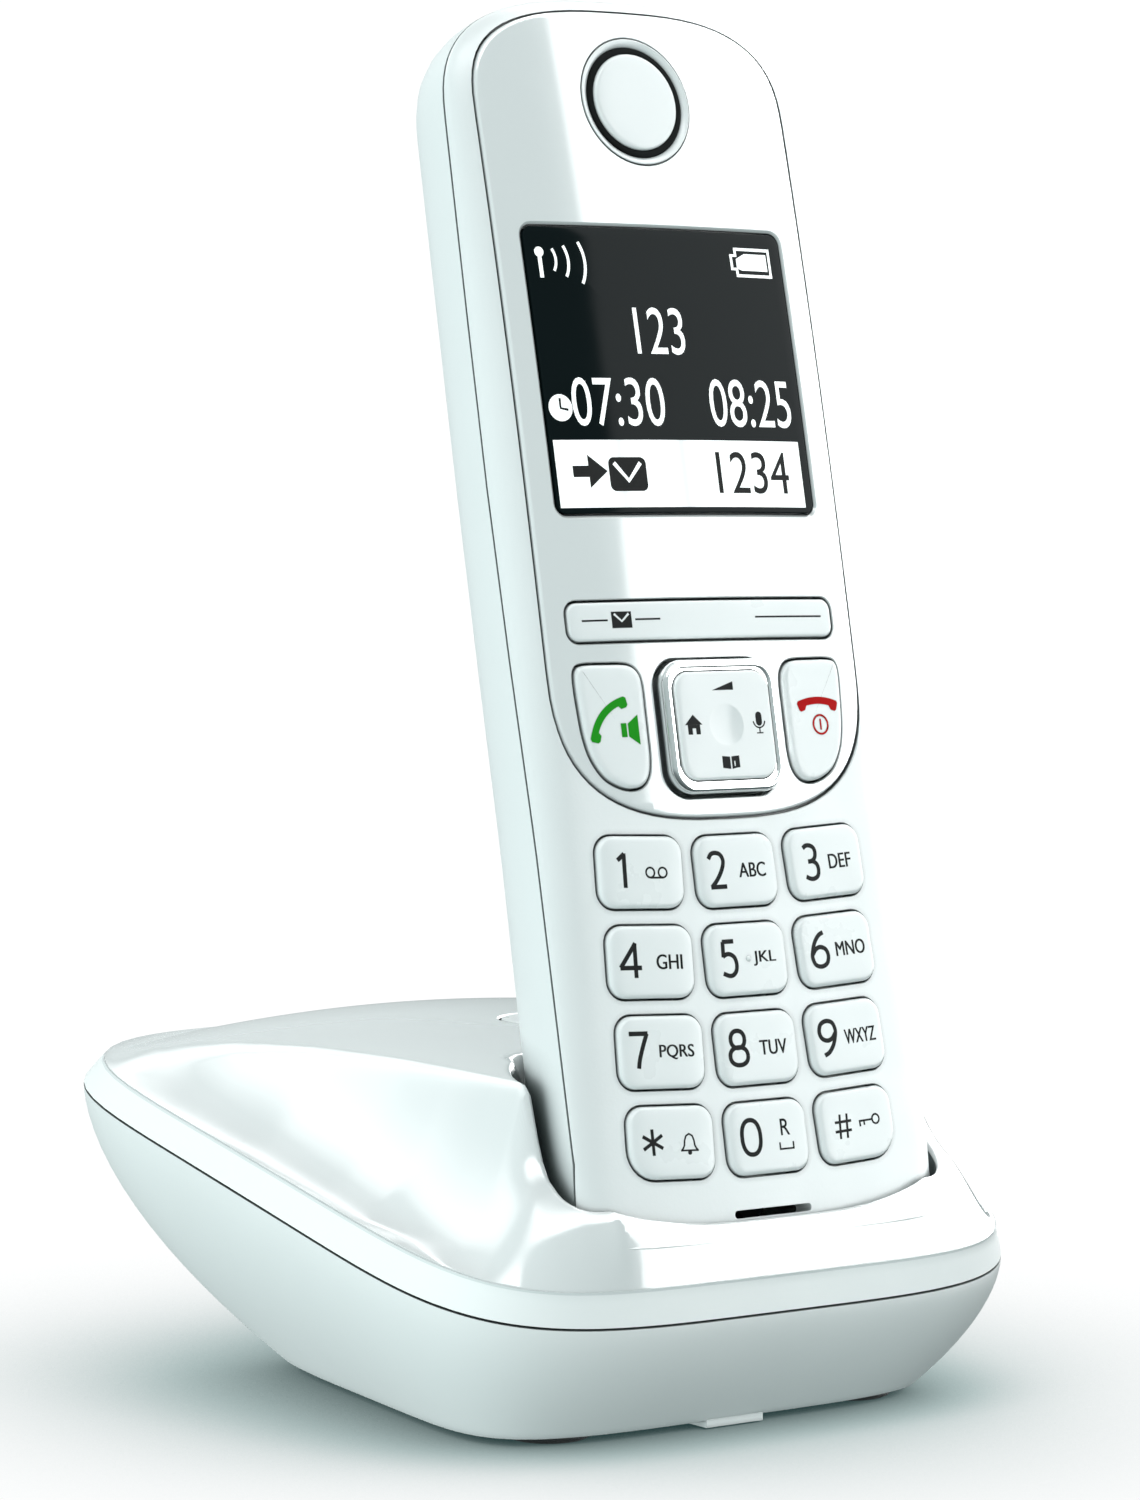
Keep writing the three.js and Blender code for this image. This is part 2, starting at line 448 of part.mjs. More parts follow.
const PLATFORM = [[0, -18.9], [-20, -18.9], [-25.5, -32.4], [-26.6, -32.4], [-27, -27.9], [-27.9, -11.6], [-29.6, 3.6], [-32.9, 17.5], [-36.7, 28.2], [-42.3, 33], [-42.3, 60], [0, 60]];
function polyDistance(poly, x, y, closed = true) {
  let best = 1e9, inside = false;
  const n = poly.length;
  for (let i = 0; i < n - (closed ? 0 : 1); i++) {
    const a = poly[i], b = poly[(i + 1) % n];
    const dx = b[0] - a[0], dy = b[1] - a[1];
    const t = clamp(((x - a[0]) * dx + (y - a[1]) * dy) / (dx * dx + dy * dy || 1), 0, 1);
    best = Math.min(best, Math.hypot(x - a[0] - t * dx, y - a[1] - t * dy));
    if ((a[1] > y) !== (b[1] > y) && x < (b[0] - a[0]) * (y - a[1]) / (b[1] - a[1]) + a[0]) inside = !inside;
  }
  return inside ? -best : best;
}
const rimLine = rimRing(IN_A, IN_B, RIM_T, IN_P, RIM_Q, IN_Y, 160);
function topZ(x, y) {
  const di = Math.max(0, -polyDistance(rimLine, x, y));
  const zi = innerZ(y);
  const ax = Math.abs(x), q = clamp((41 - ax) / 12, 0, 1);
  const low = (7 + 4.5e-6 * Math.min(ax, 26) ** 4) * (1 - Math.exp(-di / (0.7 + 0.25 * Math.max(ax - 22, 0)))) * clamp((-20 - y) / 18, 0, 1) * q * q * (3 - 2 * q);
  const d = Math.hypot(Math.max(0, polyDistance(PLATFORM, -ax, y)), 1) - 1;
  const plat = 43 - 0.0022 * x * x - 0.003 * Math.max(y - 15, 0) ** 2 - 0.0005 * Math.max(15 - y, 0) ** 2;
  const k = clamp((-20 - y) / 14, 0, 1);
  const s = Math.pow(clamp(1 - d / lerp(13.5, 8.5, k), 0, 1), lerp(2.1, 3.5, k));
  return zi + low + Math.max(plat - zi - low, 0) * s * (1 - Math.exp(-di / 2));
}
const capRings = (inset, drop, coarse = false) => {
  const rings = [];
  for (const f of coarse ? [1, 0.93, 0.8, 0.62, 0.35] : [1, 0.975, 0.94, 0.88, 0.8, 0.7, 0.57, 0.4, 0.2]) {
    rings.push(innerRing.map(([x, y]) => {
      const X = x * f * (1 - inset / IN_A), Y = IN_Y + (y - IN_Y) * f * (1 - inset / IN_B);
      return [X, Y, topZ(x * f, IN_Y + (y - IN_Y) * f) - drop];
    }));
  }
  return rings;
};
const partRing = (d, dz) => rimRing(RIM_A - d, RIM_B - d, RIM_T, RIM_P, RIM_Q, 0).map(([x, y]) => [x, y, partZ(y) + dz]);

const coverOuter = loft([partRing(0, GAP / 2), ...capRings(0, 0)]);
const coverInner = loft([partRing(BASE_WALL, -4), partRing(BASE_WALL, -1), ...capRings(BASE_WALL, 2.2, true)]);

// cradle pocket, lofted along the handset axis; grow widens it, v0 is its floor
function pocketTool(g, v0, v1) {
  const rings = [];
  for (const v of [v0, -28, -25, -22, v1]) {
    const front = 0.8 - 0.03 * Math.max(-22 - v, 0) ** 2 + g, back = -25.1 - g, a = 26.6 + g;
    const tuck = v < -27 ? 0.9 : 0, c = -5, ring = [];
    for (let i = 0; i < 40; i++) {
      const ph = 2 * Math.PI * i / 40, co = Math.cos(ph), si = Math.sin(ph), p = si > 0 ? 3.4 : 1.95;
      ring.push([(a - tuck) * spow(co, 2 / p), v, si > 0 ? c + (front - c) * spow(si, 2 / p) : c - (back + tuck * 0.4 - c) * spow(si, 2 / p)]);
    }
    rings.push(ring);
  }
  return loft(rings);
}
const handsetMatrix = new THREE.Matrix4().makeTranslation(0, HS_Y, HS_Z).multiply(new THREE.Matrix4().makeRotationX(Math.PI / 2 - LEAN_DEG * D2R));
function moved(solid, matrix) {
  const m = solid.getMesh(), n = m.vertProperties.length / m.numProp, v = new THREE.Vector3(), pts = [], tris = [];
  for (let i = 0; i < n; i++) {
    v.set(m.vertProperties[i * m.numProp], m.vertProperties[i * m.numProp + 1], m.vertProperties[i * m.numProp + 2]).applyMatrix4(matrix);
    pts.push([v.x, v.y, v.z]);
  }
  for (let i = 0; i < m.triVerts.length; i += 3) tris.push([m.triVerts[i], m.triVerts[i + 1], m.triVerts[i + 2]]);
  return solidFrom(pts, tris);
}
const POCKET_FLOOR = -32.2;
const pocket = moved(pocketTool(0, POCKET_FLOOR, 70), handsetMatrix);
const pocketShell = moved(pocketTool(1.6, POCKET_FLOOR - 1.6, 40), handsetMatrix);
const underTop = fieldSlab([-31, -26, -20, -12, -4, 4, 12, 20, 26, 31], [-44.4, -43.6, -42, -39, -36, -33, -29, -24, -18, -10], (x, y) => topZ(x, y) - 0.5, () => 3);

const boltAt = [[-23, 4], [23, 4]];
let cover = coverOuter.subtract(coverInner).add(pocketShell.intersect(underTop));
for (const [x, y] of boltAt) cover = cover.add(rod(x, y, 5.6, 39, 3.2, 14)).subtract(rod(x, y, 5.0, 16, 1.25, 10));
cover = cover.subtract(pocket);
const PAGE_Y = 0.34, PAGE_R = 6.0;
cover = cover.subtract(rod(0, PAGE_Y, 36, 50, PAGE_R + 0.3, 24));
// slots in the pocket floor for the charging springs
const floorSlot = (a, b) => moved(box(a - 0.5, b + 0.5, -38, -30, -12.6, -8.4), handsetMatrix);
for (const [a, b] of chargeBoxes) cover = cover.subtract(floorSlot(a, b));

// ---- hull
const hullRings = (inset, dz, zb, coarse = false) => {
  const rings = [];
  const A = rimRing(RIM_A - inset, RIM_B - inset, RIM_T, RIM_P, RIM_Q, 0), B = rimRing(BOT_A - inset, BOT_B - inset, BOT_T, BOT_P, BOT_Q, BOT_Y);
  for (const s of coarse ? [0, 0.3, 0.6, 0.82, 1] : [0, 0.16, 0.34, 0.52, 0.7, 0.86, 1]) {
    const f = Math.pow(s, HULL_POW);
    rings.push(A.map(([x, y], i) => [lerp(x, B[i][0], f), lerp(y, B[i][1], f), lerp(partZ(y) + dz, zb, s)]));
  }
  return rings;
};
const hullOuter = loft(hullRings(0, -GAP / 2, BOT_Z));
const hullInnerRings = hullRings(BASE_WALL, -GAP / 2, BOT_Z + 2.2, true);
hullInnerRings.unshift(hullInnerRings[0].map(([x, y, z]) => [x, y, z + 6]));
let hull = hullOuter.subtract(loft(hullInnerRings));
const feetAt = [[-21.5, -29.5], [21.5, -29.5], [-16, 19], [16, 19]];
for (const [x, y] of feetAt) hull = hull.subtract(rod(x, y, -1, 1.75, 5.3, 18));
hull = hull.add(box(-5, 3, -37.0, -33.0, 0.25, 2.2));
for (const [x, y] of boltAt) hull = hull.subtract(rod(x, y, -1, 2.3, 2.7, 14)).subtract(rod(x, y, 0, 5, 1.2, 10));
hull = hull.subtract(box(6.0, 18.0, 30, 60, 18.0, 27.5)).subtract(box(-17.0, -7.0, 30, 60, 18.0, 27.5));

const foot = (x, y) => turned([[0, 0], [4.4, 0], [5.0, 0.5], [5.0, 1.45], [0, 1.45]], 18, new THREE.Matrix4().makeTranslation(x, y, 0));
const baseScrew = (x, y) => turned([[0, 1.1], [2.3, 1.1], [2.3, 1.7], [0.9, 2.0], [0.9, 12], [0, 12.6]], 14, new THREE.Matrix4().makeTranslation(x, y, 0));

const BOARD_Z = 30.0;
const baseBoard = prism(roundRect(0, 9, 38, 42, 2), BOARD_Z, BOARD_Z + 1.6);
const lineSocket = box(5.9, 18.1, 24, 36.5, 17.6, 29.7).subtract(box(7.2, 16.8, 27, 40, 19.6, 26.4)).subtract(box(10, 14, 27, 40, 18.4, 20));
const powerSocket = box(-17.0, -7.0, 24, 36.5, 17.6, 29.7).subtract(moved(rod(0, 0, 0, 14, 3.1, 24), new THREE.Matrix4().makeTranslation(-12, 27, 22.6).multiply(new THREE.Matrix4().makeRotationX(-Math.PI / 2))));
const radioShield = box(-17, 17, -8, 6, BOARD_Z - 2.9, BOARD_Z - GAP);
const pageSwitch = add(box(-3, 3, PAGE_Y - 3, PAGE_Y + 3, BOARD_Z + 1.6 + 0.15, BOARD_Z + 3.4), rod(0, PAGE_Y, BOARD_Z + 3.3, BOARD_Z + 4.0, 1.5, 14));
const PAGE_TOP = 43.0;
const pageKey = add(turned([[0, 39.6], [PAGE_R, 39.6], [PAGE_R, PAGE_TOP - 0.5], [PAGE_R - 0.5, PAGE_TOP - 0.1], [0, PAGE_TOP + 0.1]], 24, new THREE.Matrix4().makeTranslation(0, PAGE_Y, 0)),
  rod(0, PAGE_Y, BOARD_Z + 4.9, 39.7, 1.8, 14));
// charging spring: a bent strip whose tip stands in the pocket, under the handset's contact
const spring = (a, b) => {
  const poly = [[-37.4, -12.6], [-36.8, -12.6], [-36.8, -8.9], [-35.2, -9.2], [-30.3, -11.3], [-29.95, -10.7], [-30.2, -10.3], [-34.9, -8.3], [-37.4, -8.1]];
  const m = new THREE.Matrix4().makeBasis(new THREE.Vector3(0, 1, 0), new THREE.Vector3(0, 0, 1), new THREE.Vector3(1, 0, 0));
  return prism(poly, a, b, m);
};

// ================================================================ assembly
const object = new THREE.Group();
const handset = new THREE.Group();
handset.position.set(0, HS_Y, HS_Z);
handset.rotation.x = Math.PI / 2 - LEAN_DEG * D2R;
object.add(handset);

const WHITE = 0xeef1f0, MATTE = 0xe4e8e7, BLACK = 0x15181a, METAL = 0xc9ccce, GOLD = 0xc9a24a, GREEN = 0x1f6b3a;
object.add(
  meshOf(hull, 'base_bottom_shell', MATTE, 0.5, 0),
  meshOf(cover, 'base_top_cover', WHITE, 0.12, 0),
  meshOf(pageKey, 'page_key', MATTE, 0.4, 0),
  meshOf(pageSwitch, 'page_switch', BLACK, 0.5, 0),
  meshOf(baseBoard, 'base_circuit_board', GREEN, 0.6, 0),
  meshOf(radioShield, 'base_radio_shield', METAL, 0.35, 1),
  meshOf(lineSocket, 'line_socket', BLACK, 0.5, 0),
  meshOf(powerSocket, 'power_socket', BLACK, 0.5, 0),
);
feetAt.forEach(([x, y], i) => object.add(meshOf(foot(x, y), 'base_foot_' + ['front_left', 'front_right', 'back_left', 'back_right'][i], 0x202224, 0.8, 0)));
boltAt.forEach(([x, y], i) => object.add(meshOf(baseScrew(x, y), 'base_screw_' + ['left', 'right'][i], METAL, 0.4, 1)));
chargeBoxes.forEach(([a, b], i) => handset.add(meshOf(spring(a + 0.4, b - 0.4), 'base_spring_contact_' + ['left', 'right'][i], GOLD, 0.3, 1)));

handset.add(
  meshOf(frontShell, 'handset_front_shell', MATTE, 0.45, 0),
  meshOf(backShell, 'handset_back_shell', MATTE, 0.45, 0),
  meshOf(batteryCover, 'battery_cover', MATTE, 0.45, 0),
  meshOf(panel, 'gloss_panel', WHITE, 0.1, 0),
  meshOf(windowGlass, 'display_window', BLACK, 0.08, 0),
  meshOf(lcd, 'display_module', 0x2a3234, 0.3, 0),
  meshOf(earBezel, 'earpiece_bezel', METAL, 0.25, 1),
  meshOf(earMesh, 'earpiece_mesh', BLACK, 0.7, 0),
  meshOf(earDisc, 'earpiece_disc', WHITE, 0.2, 0),
  meshOf(receiver, 'receiver_capsule', METAL, 0.4, 1),
  meshOf(softKey, 'softkey_bar', WHITE, 0.3, 0),
  meshOf(talkKey, 'talk_key', WHITE, 0.3, 0),
  meshOf(endKey, 'end_key', WHITE, 0.3, 0),
  meshOf(navFrame, 'nav_key_frame', METAL, 0.08, 1),
  meshOf(navPad, 'nav_key_pad', WHITE, 0.3, 0),
  meshOf(navPivot, 'nav_pivot_plate', METAL, 0.4, 1),
  meshOf(keymat, 'keypad_mat', 0xb8bcbc, 0.8, 0),
  meshOf(hsBoard, 'handset_circuit_board', GREEN, 0.6, 0),
  meshOf(cell(-cellX), 'battery_cell_left', 0x3d7ea6, 0.35, 0.2),
  meshOf(cell(cellX), 'battery_cell_right', 0x3d7ea6, 0.35, 0.2),
  meshOf(contactTop, 'battery_contact_top', METAL, 0.3, 1),
  meshOf(contactBottom, 'battery_contact_bottom', METAL, 0.3, 1),
  meshOf(chargeContact(...chargeBoxes[0]), 'charge_contact_left', GOLD, 0.3, 1),
  meshOf(chargeContact(...chargeBoxes[1]), 'charge_contact_right', GOLD, 0.3, 1),
  meshOf(microphone, 'microphone_capsule', METAL, 0.4, 1),
  meshOf(ringer, 'ringer_speaker', BLACK, 0.5, 0),
  meshOf(screw(...screwAt[0]), 'handset_screw_left', METAL, 0.4, 1),
  meshOf(screw(...screwAt[1]), 'handset_screw_right', METAL, 0.4, 1),
);
for (const k of KEYS) handset.add(meshOf(keySolid(k), k.name, WHITE, 0.3, 0));

export default object;
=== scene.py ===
import math
import bpy
import bmesh
import numpy as np
from mathutils import Matrix, Vector


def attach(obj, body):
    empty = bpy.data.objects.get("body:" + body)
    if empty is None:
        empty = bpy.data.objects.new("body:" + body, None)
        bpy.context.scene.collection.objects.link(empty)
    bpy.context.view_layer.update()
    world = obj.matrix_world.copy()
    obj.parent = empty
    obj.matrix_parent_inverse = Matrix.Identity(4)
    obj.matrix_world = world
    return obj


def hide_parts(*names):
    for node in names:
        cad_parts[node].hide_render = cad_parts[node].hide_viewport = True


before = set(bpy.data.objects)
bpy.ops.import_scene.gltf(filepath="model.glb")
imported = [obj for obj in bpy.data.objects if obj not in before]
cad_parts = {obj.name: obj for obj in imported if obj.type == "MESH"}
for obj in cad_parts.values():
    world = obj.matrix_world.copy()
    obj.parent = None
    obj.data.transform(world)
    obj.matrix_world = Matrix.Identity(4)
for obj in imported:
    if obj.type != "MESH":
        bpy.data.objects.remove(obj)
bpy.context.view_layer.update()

# ------------------------------------------------------------------ dimensions
LEAN = math.radians(11.15)
SN, CS = math.sin(LEAN), math.cos(LEAN)
HS_Y, HS_Z = -38.36, 48.0
HW, HW_GROW = 24.45, 0.014
V_TOP, V_TOPC, V_BOT, V_BOTC = 117.0, 102.0, -31.0, -21.0
BACK_N, EDGE_W, WALL, FACE_WALL, PANEL_T, GAP = -23.5, 4.0, 1.8, 2.8, 1.2, 0.3
KEY_PX, KEY_PY, KEY_W, KEY_H, KEY_R = 13.02, 10.04, 11.17, 8.09, 2.0
KEY_UP, KEY_TURN, KEY_PROUD = 0.434, 2.92, 0.75
DISP_W, DISP_V0, DISP_V1 = 36.47, 56.0, 89.32
EAR_V, EAR_R_BEZEL, EAR_R_SLOT, EAR_R_DISC = 104.42, 7.5, 6.6, 5.77
SOFT_HW, SOFT_V0, SOFT_V1 = 18.65, 41.6, 46.0
NAV_V, NAV_W, NAV_H, PAD_W, PAD_H = 31.45, 15.8, 15.3, 13.4, 12.4
RIM_A, RIM_B, RIM_T, RIM_P, RIM_Q = 44.26, 45.72, 0.07, 4.114, 5.636
RIM_Z, RIM_K, RIM_C = 25.87, 0.247, -0.265
IN_A, IN_B, IN_P, IN_Y, IN_Z, IN_K = 42.26, 43.72, 5.2, -1.4, 29.67, 0.238
BOT_A, BOT_B, BOT_T, BOT_P, BOT_Q, BOT_Y, BOT_Z = 28.6, 33.1, -0.175, 4.4, 5.6, -3.56, 0.85
HULL_POW = 1.65
POCKET_N = -5.0
SEC_P = 2.3
PAGE_Y, PAGE_R, PAGE_TOP = 0.34, 6.0, 43.0


def lerp(a, b, t):
    return a + (b - a) * t


def clamp(x, a, b):
    return min(b, max(a, x))


def spow(c, e):
    return math.copysign(abs(c) ** e, c)


def face(u, v):
    return -0.002 * u * u - 0.00055 * max(v - 50, 0) ** 2 - 0.028 * max(-22 - v, 0) ** 2


def half_width(v):
    return HW + HW_GROW * clamp(20 - v, 0, 41)


PART_V = [-31, -24, -16, 0, 18, 40, 60, 80, 117]
PART_N = [-5.2, -3.2, -2.3, -2.8, -3.4, -4.4, -5.0, -5.1, -5.0]


def part_n(v):
    return float(np.interp(v, PART_V, PART_N))


def H(u, v, n):
    """handset frame to the object's frame, millimetres"""
    return (u, v * SN - n * CS + HS_Y, v * CS + n * SN + HS_Z)


# ------------------------------------------------------------------ mesh building
class Mesh:
    def __init__(self):
        self.v, self.f, self.m = [], [], []

    def ring(self, pts):
        i = len(self.v)
        self.v += [tuple(p) for p in pts]
        return list(range(i, i + len(pts)))

    def face(self, idx, mat=0):
        self.f.append(tuple(idx))
        self.m.append(mat)

    def bridge(self, a, b, mat=0, closed=True):
        n = len(a)
        for i in range(n if closed else n - 1):
            j = (i + 1) % n
            self.face((a[i], a[j], b[j], b[i]), mat)

    def fan(self, r, flip=False, mat=0, centre=None):
        if centre is None:
            centre = np.mean([self.v[i] for i in r], axis=0)
        self.v.append(tuple(centre))
        c = len(self.v) - 1
        n = len(r)
        for i in range(n):
            j = (i + 1) % n
            self.face((c, r[j], r[i]) if flip else (c, r[i], r[j]), mat)


def make_object(mesh, name, local=False):
    """local: the points are handset (u, v, n)"""
    pts = [H(*p) for p in mesh.v] if local else mesh.v
    me = bpy.data.meshes.new(name)
    me.from_pydata([(x / 1000, y / 1000, z / 1000) for x, y, z in pts], [], mesh.f)
    me.polygons.foreach_set("material_index", mesh.m)
    me.validate()
    bm = bmesh.new()
    bm.from_mesh(me)
    bmesh.ops.remove_doubles(bm, verts=bm.verts, dist=1e-7)
    bmesh.ops.recalc_face_normals(bm, faces=bm.faces)
    if bm.calc_volume(signed=True) < 0:
        bmesh.ops.reverse_faces(bm, faces=bm.faces)
    bm.to_mesh(me)
    bm.free()
    o = bpy.data.objects.new(name, me)
    bpy.context.scene.collection.objects.link(o)
    return o


def loft(rings, local=False, name="tool", mats=None, close=True):
    m = Mesh()
    rs = [m.ring(r) for r in rings]
    for k in range(len(rs) - 1):
        m.bridge(rs[k], rs[k + 1], mats[k] if mats else 0)
    if close:
        m.fan(rs[0], True, mats[0] if mats else 0)
        m.fan(rs[-1], False, mats[-1] if mats else 0)
    return make_object(m, name, local)


def boolean(o, tool, op="DIFFERENCE", keep=False):
    for x in (o, tool):
        if not x.data.materials:
            pass
    mod = o.modifiers.new("cut", "BOOLEAN")
    mod.operation = op
    mod.object = tool
    mod.solver = "MANIFOLD"
    bpy.context.view_layer.update()
    dg = bpy.context.evaluated_depsgraph_get()
    me = bpy.data.meshes.new_from_object(o.evaluated_get(dg))
    o.modifiers.clear()
    old = o.data
    o.data = me
    bpy.data.meshes.remove(old)
    if len(me.polygons) == 0:
        raise RuntimeError("empty result: " + o.name + " " + op + " " + tool.name)
    if not keep:
        d = tool.data
        bpy.data.objects.remove(tool)
        bpy.data.meshes.remove(d)
    return o


def copy_of(o, name):
    c = bpy.data.objects.new(name, o.data.copy())
    bpy.context.scene.collection.objects.link(c)
    return c


def join(objs, name):
    """puts separate closed meshes into one object"""
    bm = bmesh.new()
    for o in objs:
        bm.from_mesh(o.data)
    me = bpy.data.meshes.new(name)
    bm.to_mesh(me)
    bm.free()
    for o in objs:
        d = o.data
        bpy.data.objects.remove(o)
        bpy.data.meshes.remove(d)
    r = bpy.data.objects.new(name, me)
    bpy.context.scene.collection.objects.link(r)
    return r


def arc(cx, cy, r, a0, a1, n):
    return [(cx + r * math.cos(math.radians(lerp(a0, a1, i / n))), cy + r * math.sin(math.radians(lerp(a0, a1, i / n)))) for i in range(n + 1)]


def round_rect(cx, cy, w, h, radii, turn=0.0, seg=7, side=4):
    """rounded rectangle; the straight sides are divided too, so that it can follow a curved face"""
    r = list(radii) if isinstance(radii, (list, tuple)) else [radii] * 4
    x, y = w / 2, h / 2
    corners = [arc(x - r[0], y - r[0], r[0], 0, 90, seg), arc(-x + r[1], y - r[1], r[1], 90, 180, seg),
               arc(-x + r[2], -y + r[2], r[2], 180, 270, seg), arc(x - r[3], -y + r[3], r[3], 270, 360, seg)]
    p = []
    for k in range(4):
        p += corners[k]
        a, b = corners[k][-1], corners[(k + 1) % 4][0]
        p += [(lerp(a[0], b[0], i / side), lerp(a[1], b[1], i / side)) for i in range(1, side)]
    c, s = math.cos(math.radians(turn)), math.sin(math.radians(turn))
    return [(cx + a * c - b * s, cy + a * s + b * c) for a, b in p]


def grow(outline, d):
    n = len(outline)
    out = []
    area = sum(outline[i][0] * outline[(i + 1) % n][1] - outline[(i + 1) % n][0] * outline[i][1] for i in range(n))
    s = 1 if area > 0 else -1
    for i, p in enumerate(outline):
        a, b = outline[i - 1], outline[(i + 1) % n]
        ex, ey = b[0] - a[0], b[1] - a[1]
        l = math.hypot(ex, ey) or 1
        out.append((p[0] + s * ey / l * d, p[1] - s * ex / l * d))
    return out


def smooth_loop(pts, per=6):
    """closed Catmull-Rom curve through the points"""
    n, out = len(pts), []
    for i in range(n):
        p0, p1, p2, p3 = (np.array(pts[(i + k - 1) % n], float) for k in range(4))
        for k in range(per):
            t = k / per
            out.append(tuple(0.5 * ((2 * p1) + (-p0 + p2) * t + (2 * p0 - 5 * p1 + 4 * p2 - p3) * t * t + (-p0 + 3 * p1 - 3 * p2 + p3) * t ** 3)))
    return out


def tool(outline_at, levels, name="tool", surf=face, mats=None):
    """solid over an outline: levels are (outline growth, height, True when the height is measured from the face);
    an end that is measured from the face follows its curve right across"""
    rings = []
    for d, n, rel in levels:
        rings.append([(u, v, (surf(u, v) if rel else 0) + n) for u, v in outline_at(d)])

    def dome(level):
        d, n, rel = level
        if not rel:
            return []
        o = outline_at(d)
        cu, cv = sum(q[0] for q in o) / len(o), sum(q[1] for q in o) / len(o)
        out = []
        for f in (0.94, 0.87, 0.79, 0.7, 0.6, 0.5, 0.4, 0.3, 0.2, 0.1, 0.03):
            out.append([(cu + (u - cu) * f, cv + (v - cv) * f, surf(cu + (u - cu) * f, cv + (v - cv) * f) + n) for u, v in o])
        return out

    rings = dome(levels[0])[::-1] + rings + dome(levels[-1])
    return loft(rings, True, name, mats)


def cutter(outline_at, gap, chamfer=0.14, deep=-9.0, surf=face):
    return tool(outline_at, [(gap, deep, False), (gap, -chamfer, True), (gap + chamfer, 0.0, True), (gap + chamfer * 1.8, 0.8, True), (gap + chamfer * 1.8, 5, False)], "cutter", surf)


# ------------------------------------------------------------------ materials
def _nt(name):
    m = bpy.data.materials.new(name)
    m.use_nodes = True
    nt = m.node_tree
    nt.nodes.clear()
    out = nt.nodes.new("ShaderNodeOutputMaterial")
    b = nt.nodes.new("ShaderNodeBsdfPrincipled")
    nt.links.new(b.outputs["BSDF"], out.inputs["Surface"])
    tc = nt.nodes.new("ShaderNodeTexCoord")
    return m, nt, b, tc


def surface(name, colour, rough, metallic=0.0, coat=0.0, coat_rough=0.03, spec=0.5, ior=1.5, bump=0.0, bump_scale=900.0,
            vary=0.02, vary_scale=60.0, rough_vary=0.05, rough_scale=180.0, second=None, emission=0.0, brushed=None, crevice=None):
    """moulded, printed or metal surface: tone and roughness drift a little over it, and a fine grain stands in the
    bump; the crevice setting paints shade into the base colour where nearby faces close in
    """
    m, nt, b, tc = _nt(name)
    N, L = nt.nodes.new, nt.links.new
    b.inputs["Metallic"].default_value = metallic
    b.inputs["IOR"].default_value = ior
    b.inputs["Specular IOR Level"].default_value = spec
    b.inputs["Coat Weight"].default_value = coat
    b.inputs["Coat Roughness"].default_value = coat_rough
    n1 = N("ShaderNodeTexNoise")
    n1.inputs["Scale"].default_value = vary_scale
    n1.inputs["Detail"].default_value = 3
    L(tc.outputs["Object"], n1.inputs["Vector"])
    ramp = N("ShaderNodeValToRGB")
    ramp.color_ramp.elements[0].position = 0.3
    ramp.color_ramp.elements[1].position = 0.7
    lo = [max(0, c * (1 - vary)) for c in colour]
    hi = [min(1, c * (1 + vary)) for c in (second or colour)]
    ramp.color_ramp.elements[0].color = (*lo, 1)
    ramp.color_ramp.elements[1].color = (*hi, 1)
    L(n1.outputs["Fac"], ramp.inputs["Fac"])
    if crevice:
        # painted shade: ambient occlusion pulls the base colour down toward a dark tone in joints and slots, where
        # nearby faces close in
        dist, power, painted_shade_tone = crevice
        ao = N("ShaderNodeAmbientOcclusion")
        ao.samples = 8
        ao.inputs["Distance"].default_value = dist / 1000
        pw = N("ShaderNodeMath")
        pw.operation = "POWER"
        pw.inputs[1].default_value = power
        L(ao.outputs["AO"], pw.inputs[0])
        mx = N("ShaderNodeMix")
        mx.data_type = "RGBA"
        L(pw.outputs[0], mx.inputs[0])
        mx.inputs[6].default_value = (*[c * f for c, f in zip(colour, painted_shade_tone)], 1)
        L(ramp.outputs["Color"], mx.inputs[7])
        L(mx.outputs[2], b.inputs["Base Color"])
    else:
        L(ramp.outputs["Color"], b.inputs["Base Color"])
    if emission:
        L(ramp.outputs["Color"], b.inputs["Emission Color"])
        b.inputs["Emission Strength"].default_value = emission
    n2 = N("ShaderNodeTexNoise")
    n2.inputs["Scale"].default_value = rough_scale
    n2.inputs["Detail"].default_value = 4
    if brushed:
        mp = N("ShaderNodeMapping")
        mp.inputs["Scale"].default_value = brushed
        L(tc.outputs["Object"], mp.inputs["Vector"])
        L(mp.outputs["Vector"], n2.inputs["Vector"])
    else:
        L(tc.outputs["Object"], n2.inputs["Vector"])
    mr = N("ShaderNodeMapRange")
    mr.inputs["From Min"].default_value = 0.25
    mr.inputs["From Max"].default_value = 0.75
    mr.inputs["To Min"].default_value = max(0.01, rough - rough_vary)
    mr.inputs["To Max"].default_value = min(1.0, rough + rough_vary)
    L(n2.outputs["Fac"], mr.inputs["Value"])
    L(mr.outputs["Result"], b.inputs["Roughness"])
    if bump:
        n3 = N("ShaderNodeTexNoise")
        n3.inputs["Scale"].default_value = bump_scale
        n3.inputs["Detail"].default_value = 2
        L(tc.outputs["Object"], n3.inputs["Vector"])
        bp = N("ShaderNodeBump")
        bp.inputs["Strength"].default_value = bump
        bp.inputs["Distance"].default_value = 0.00004
        L(n3.outputs["Fac"], bp.inputs["Height"])
        L(bp.outputs["Normal"], b.inputs["Normal"])
    return m


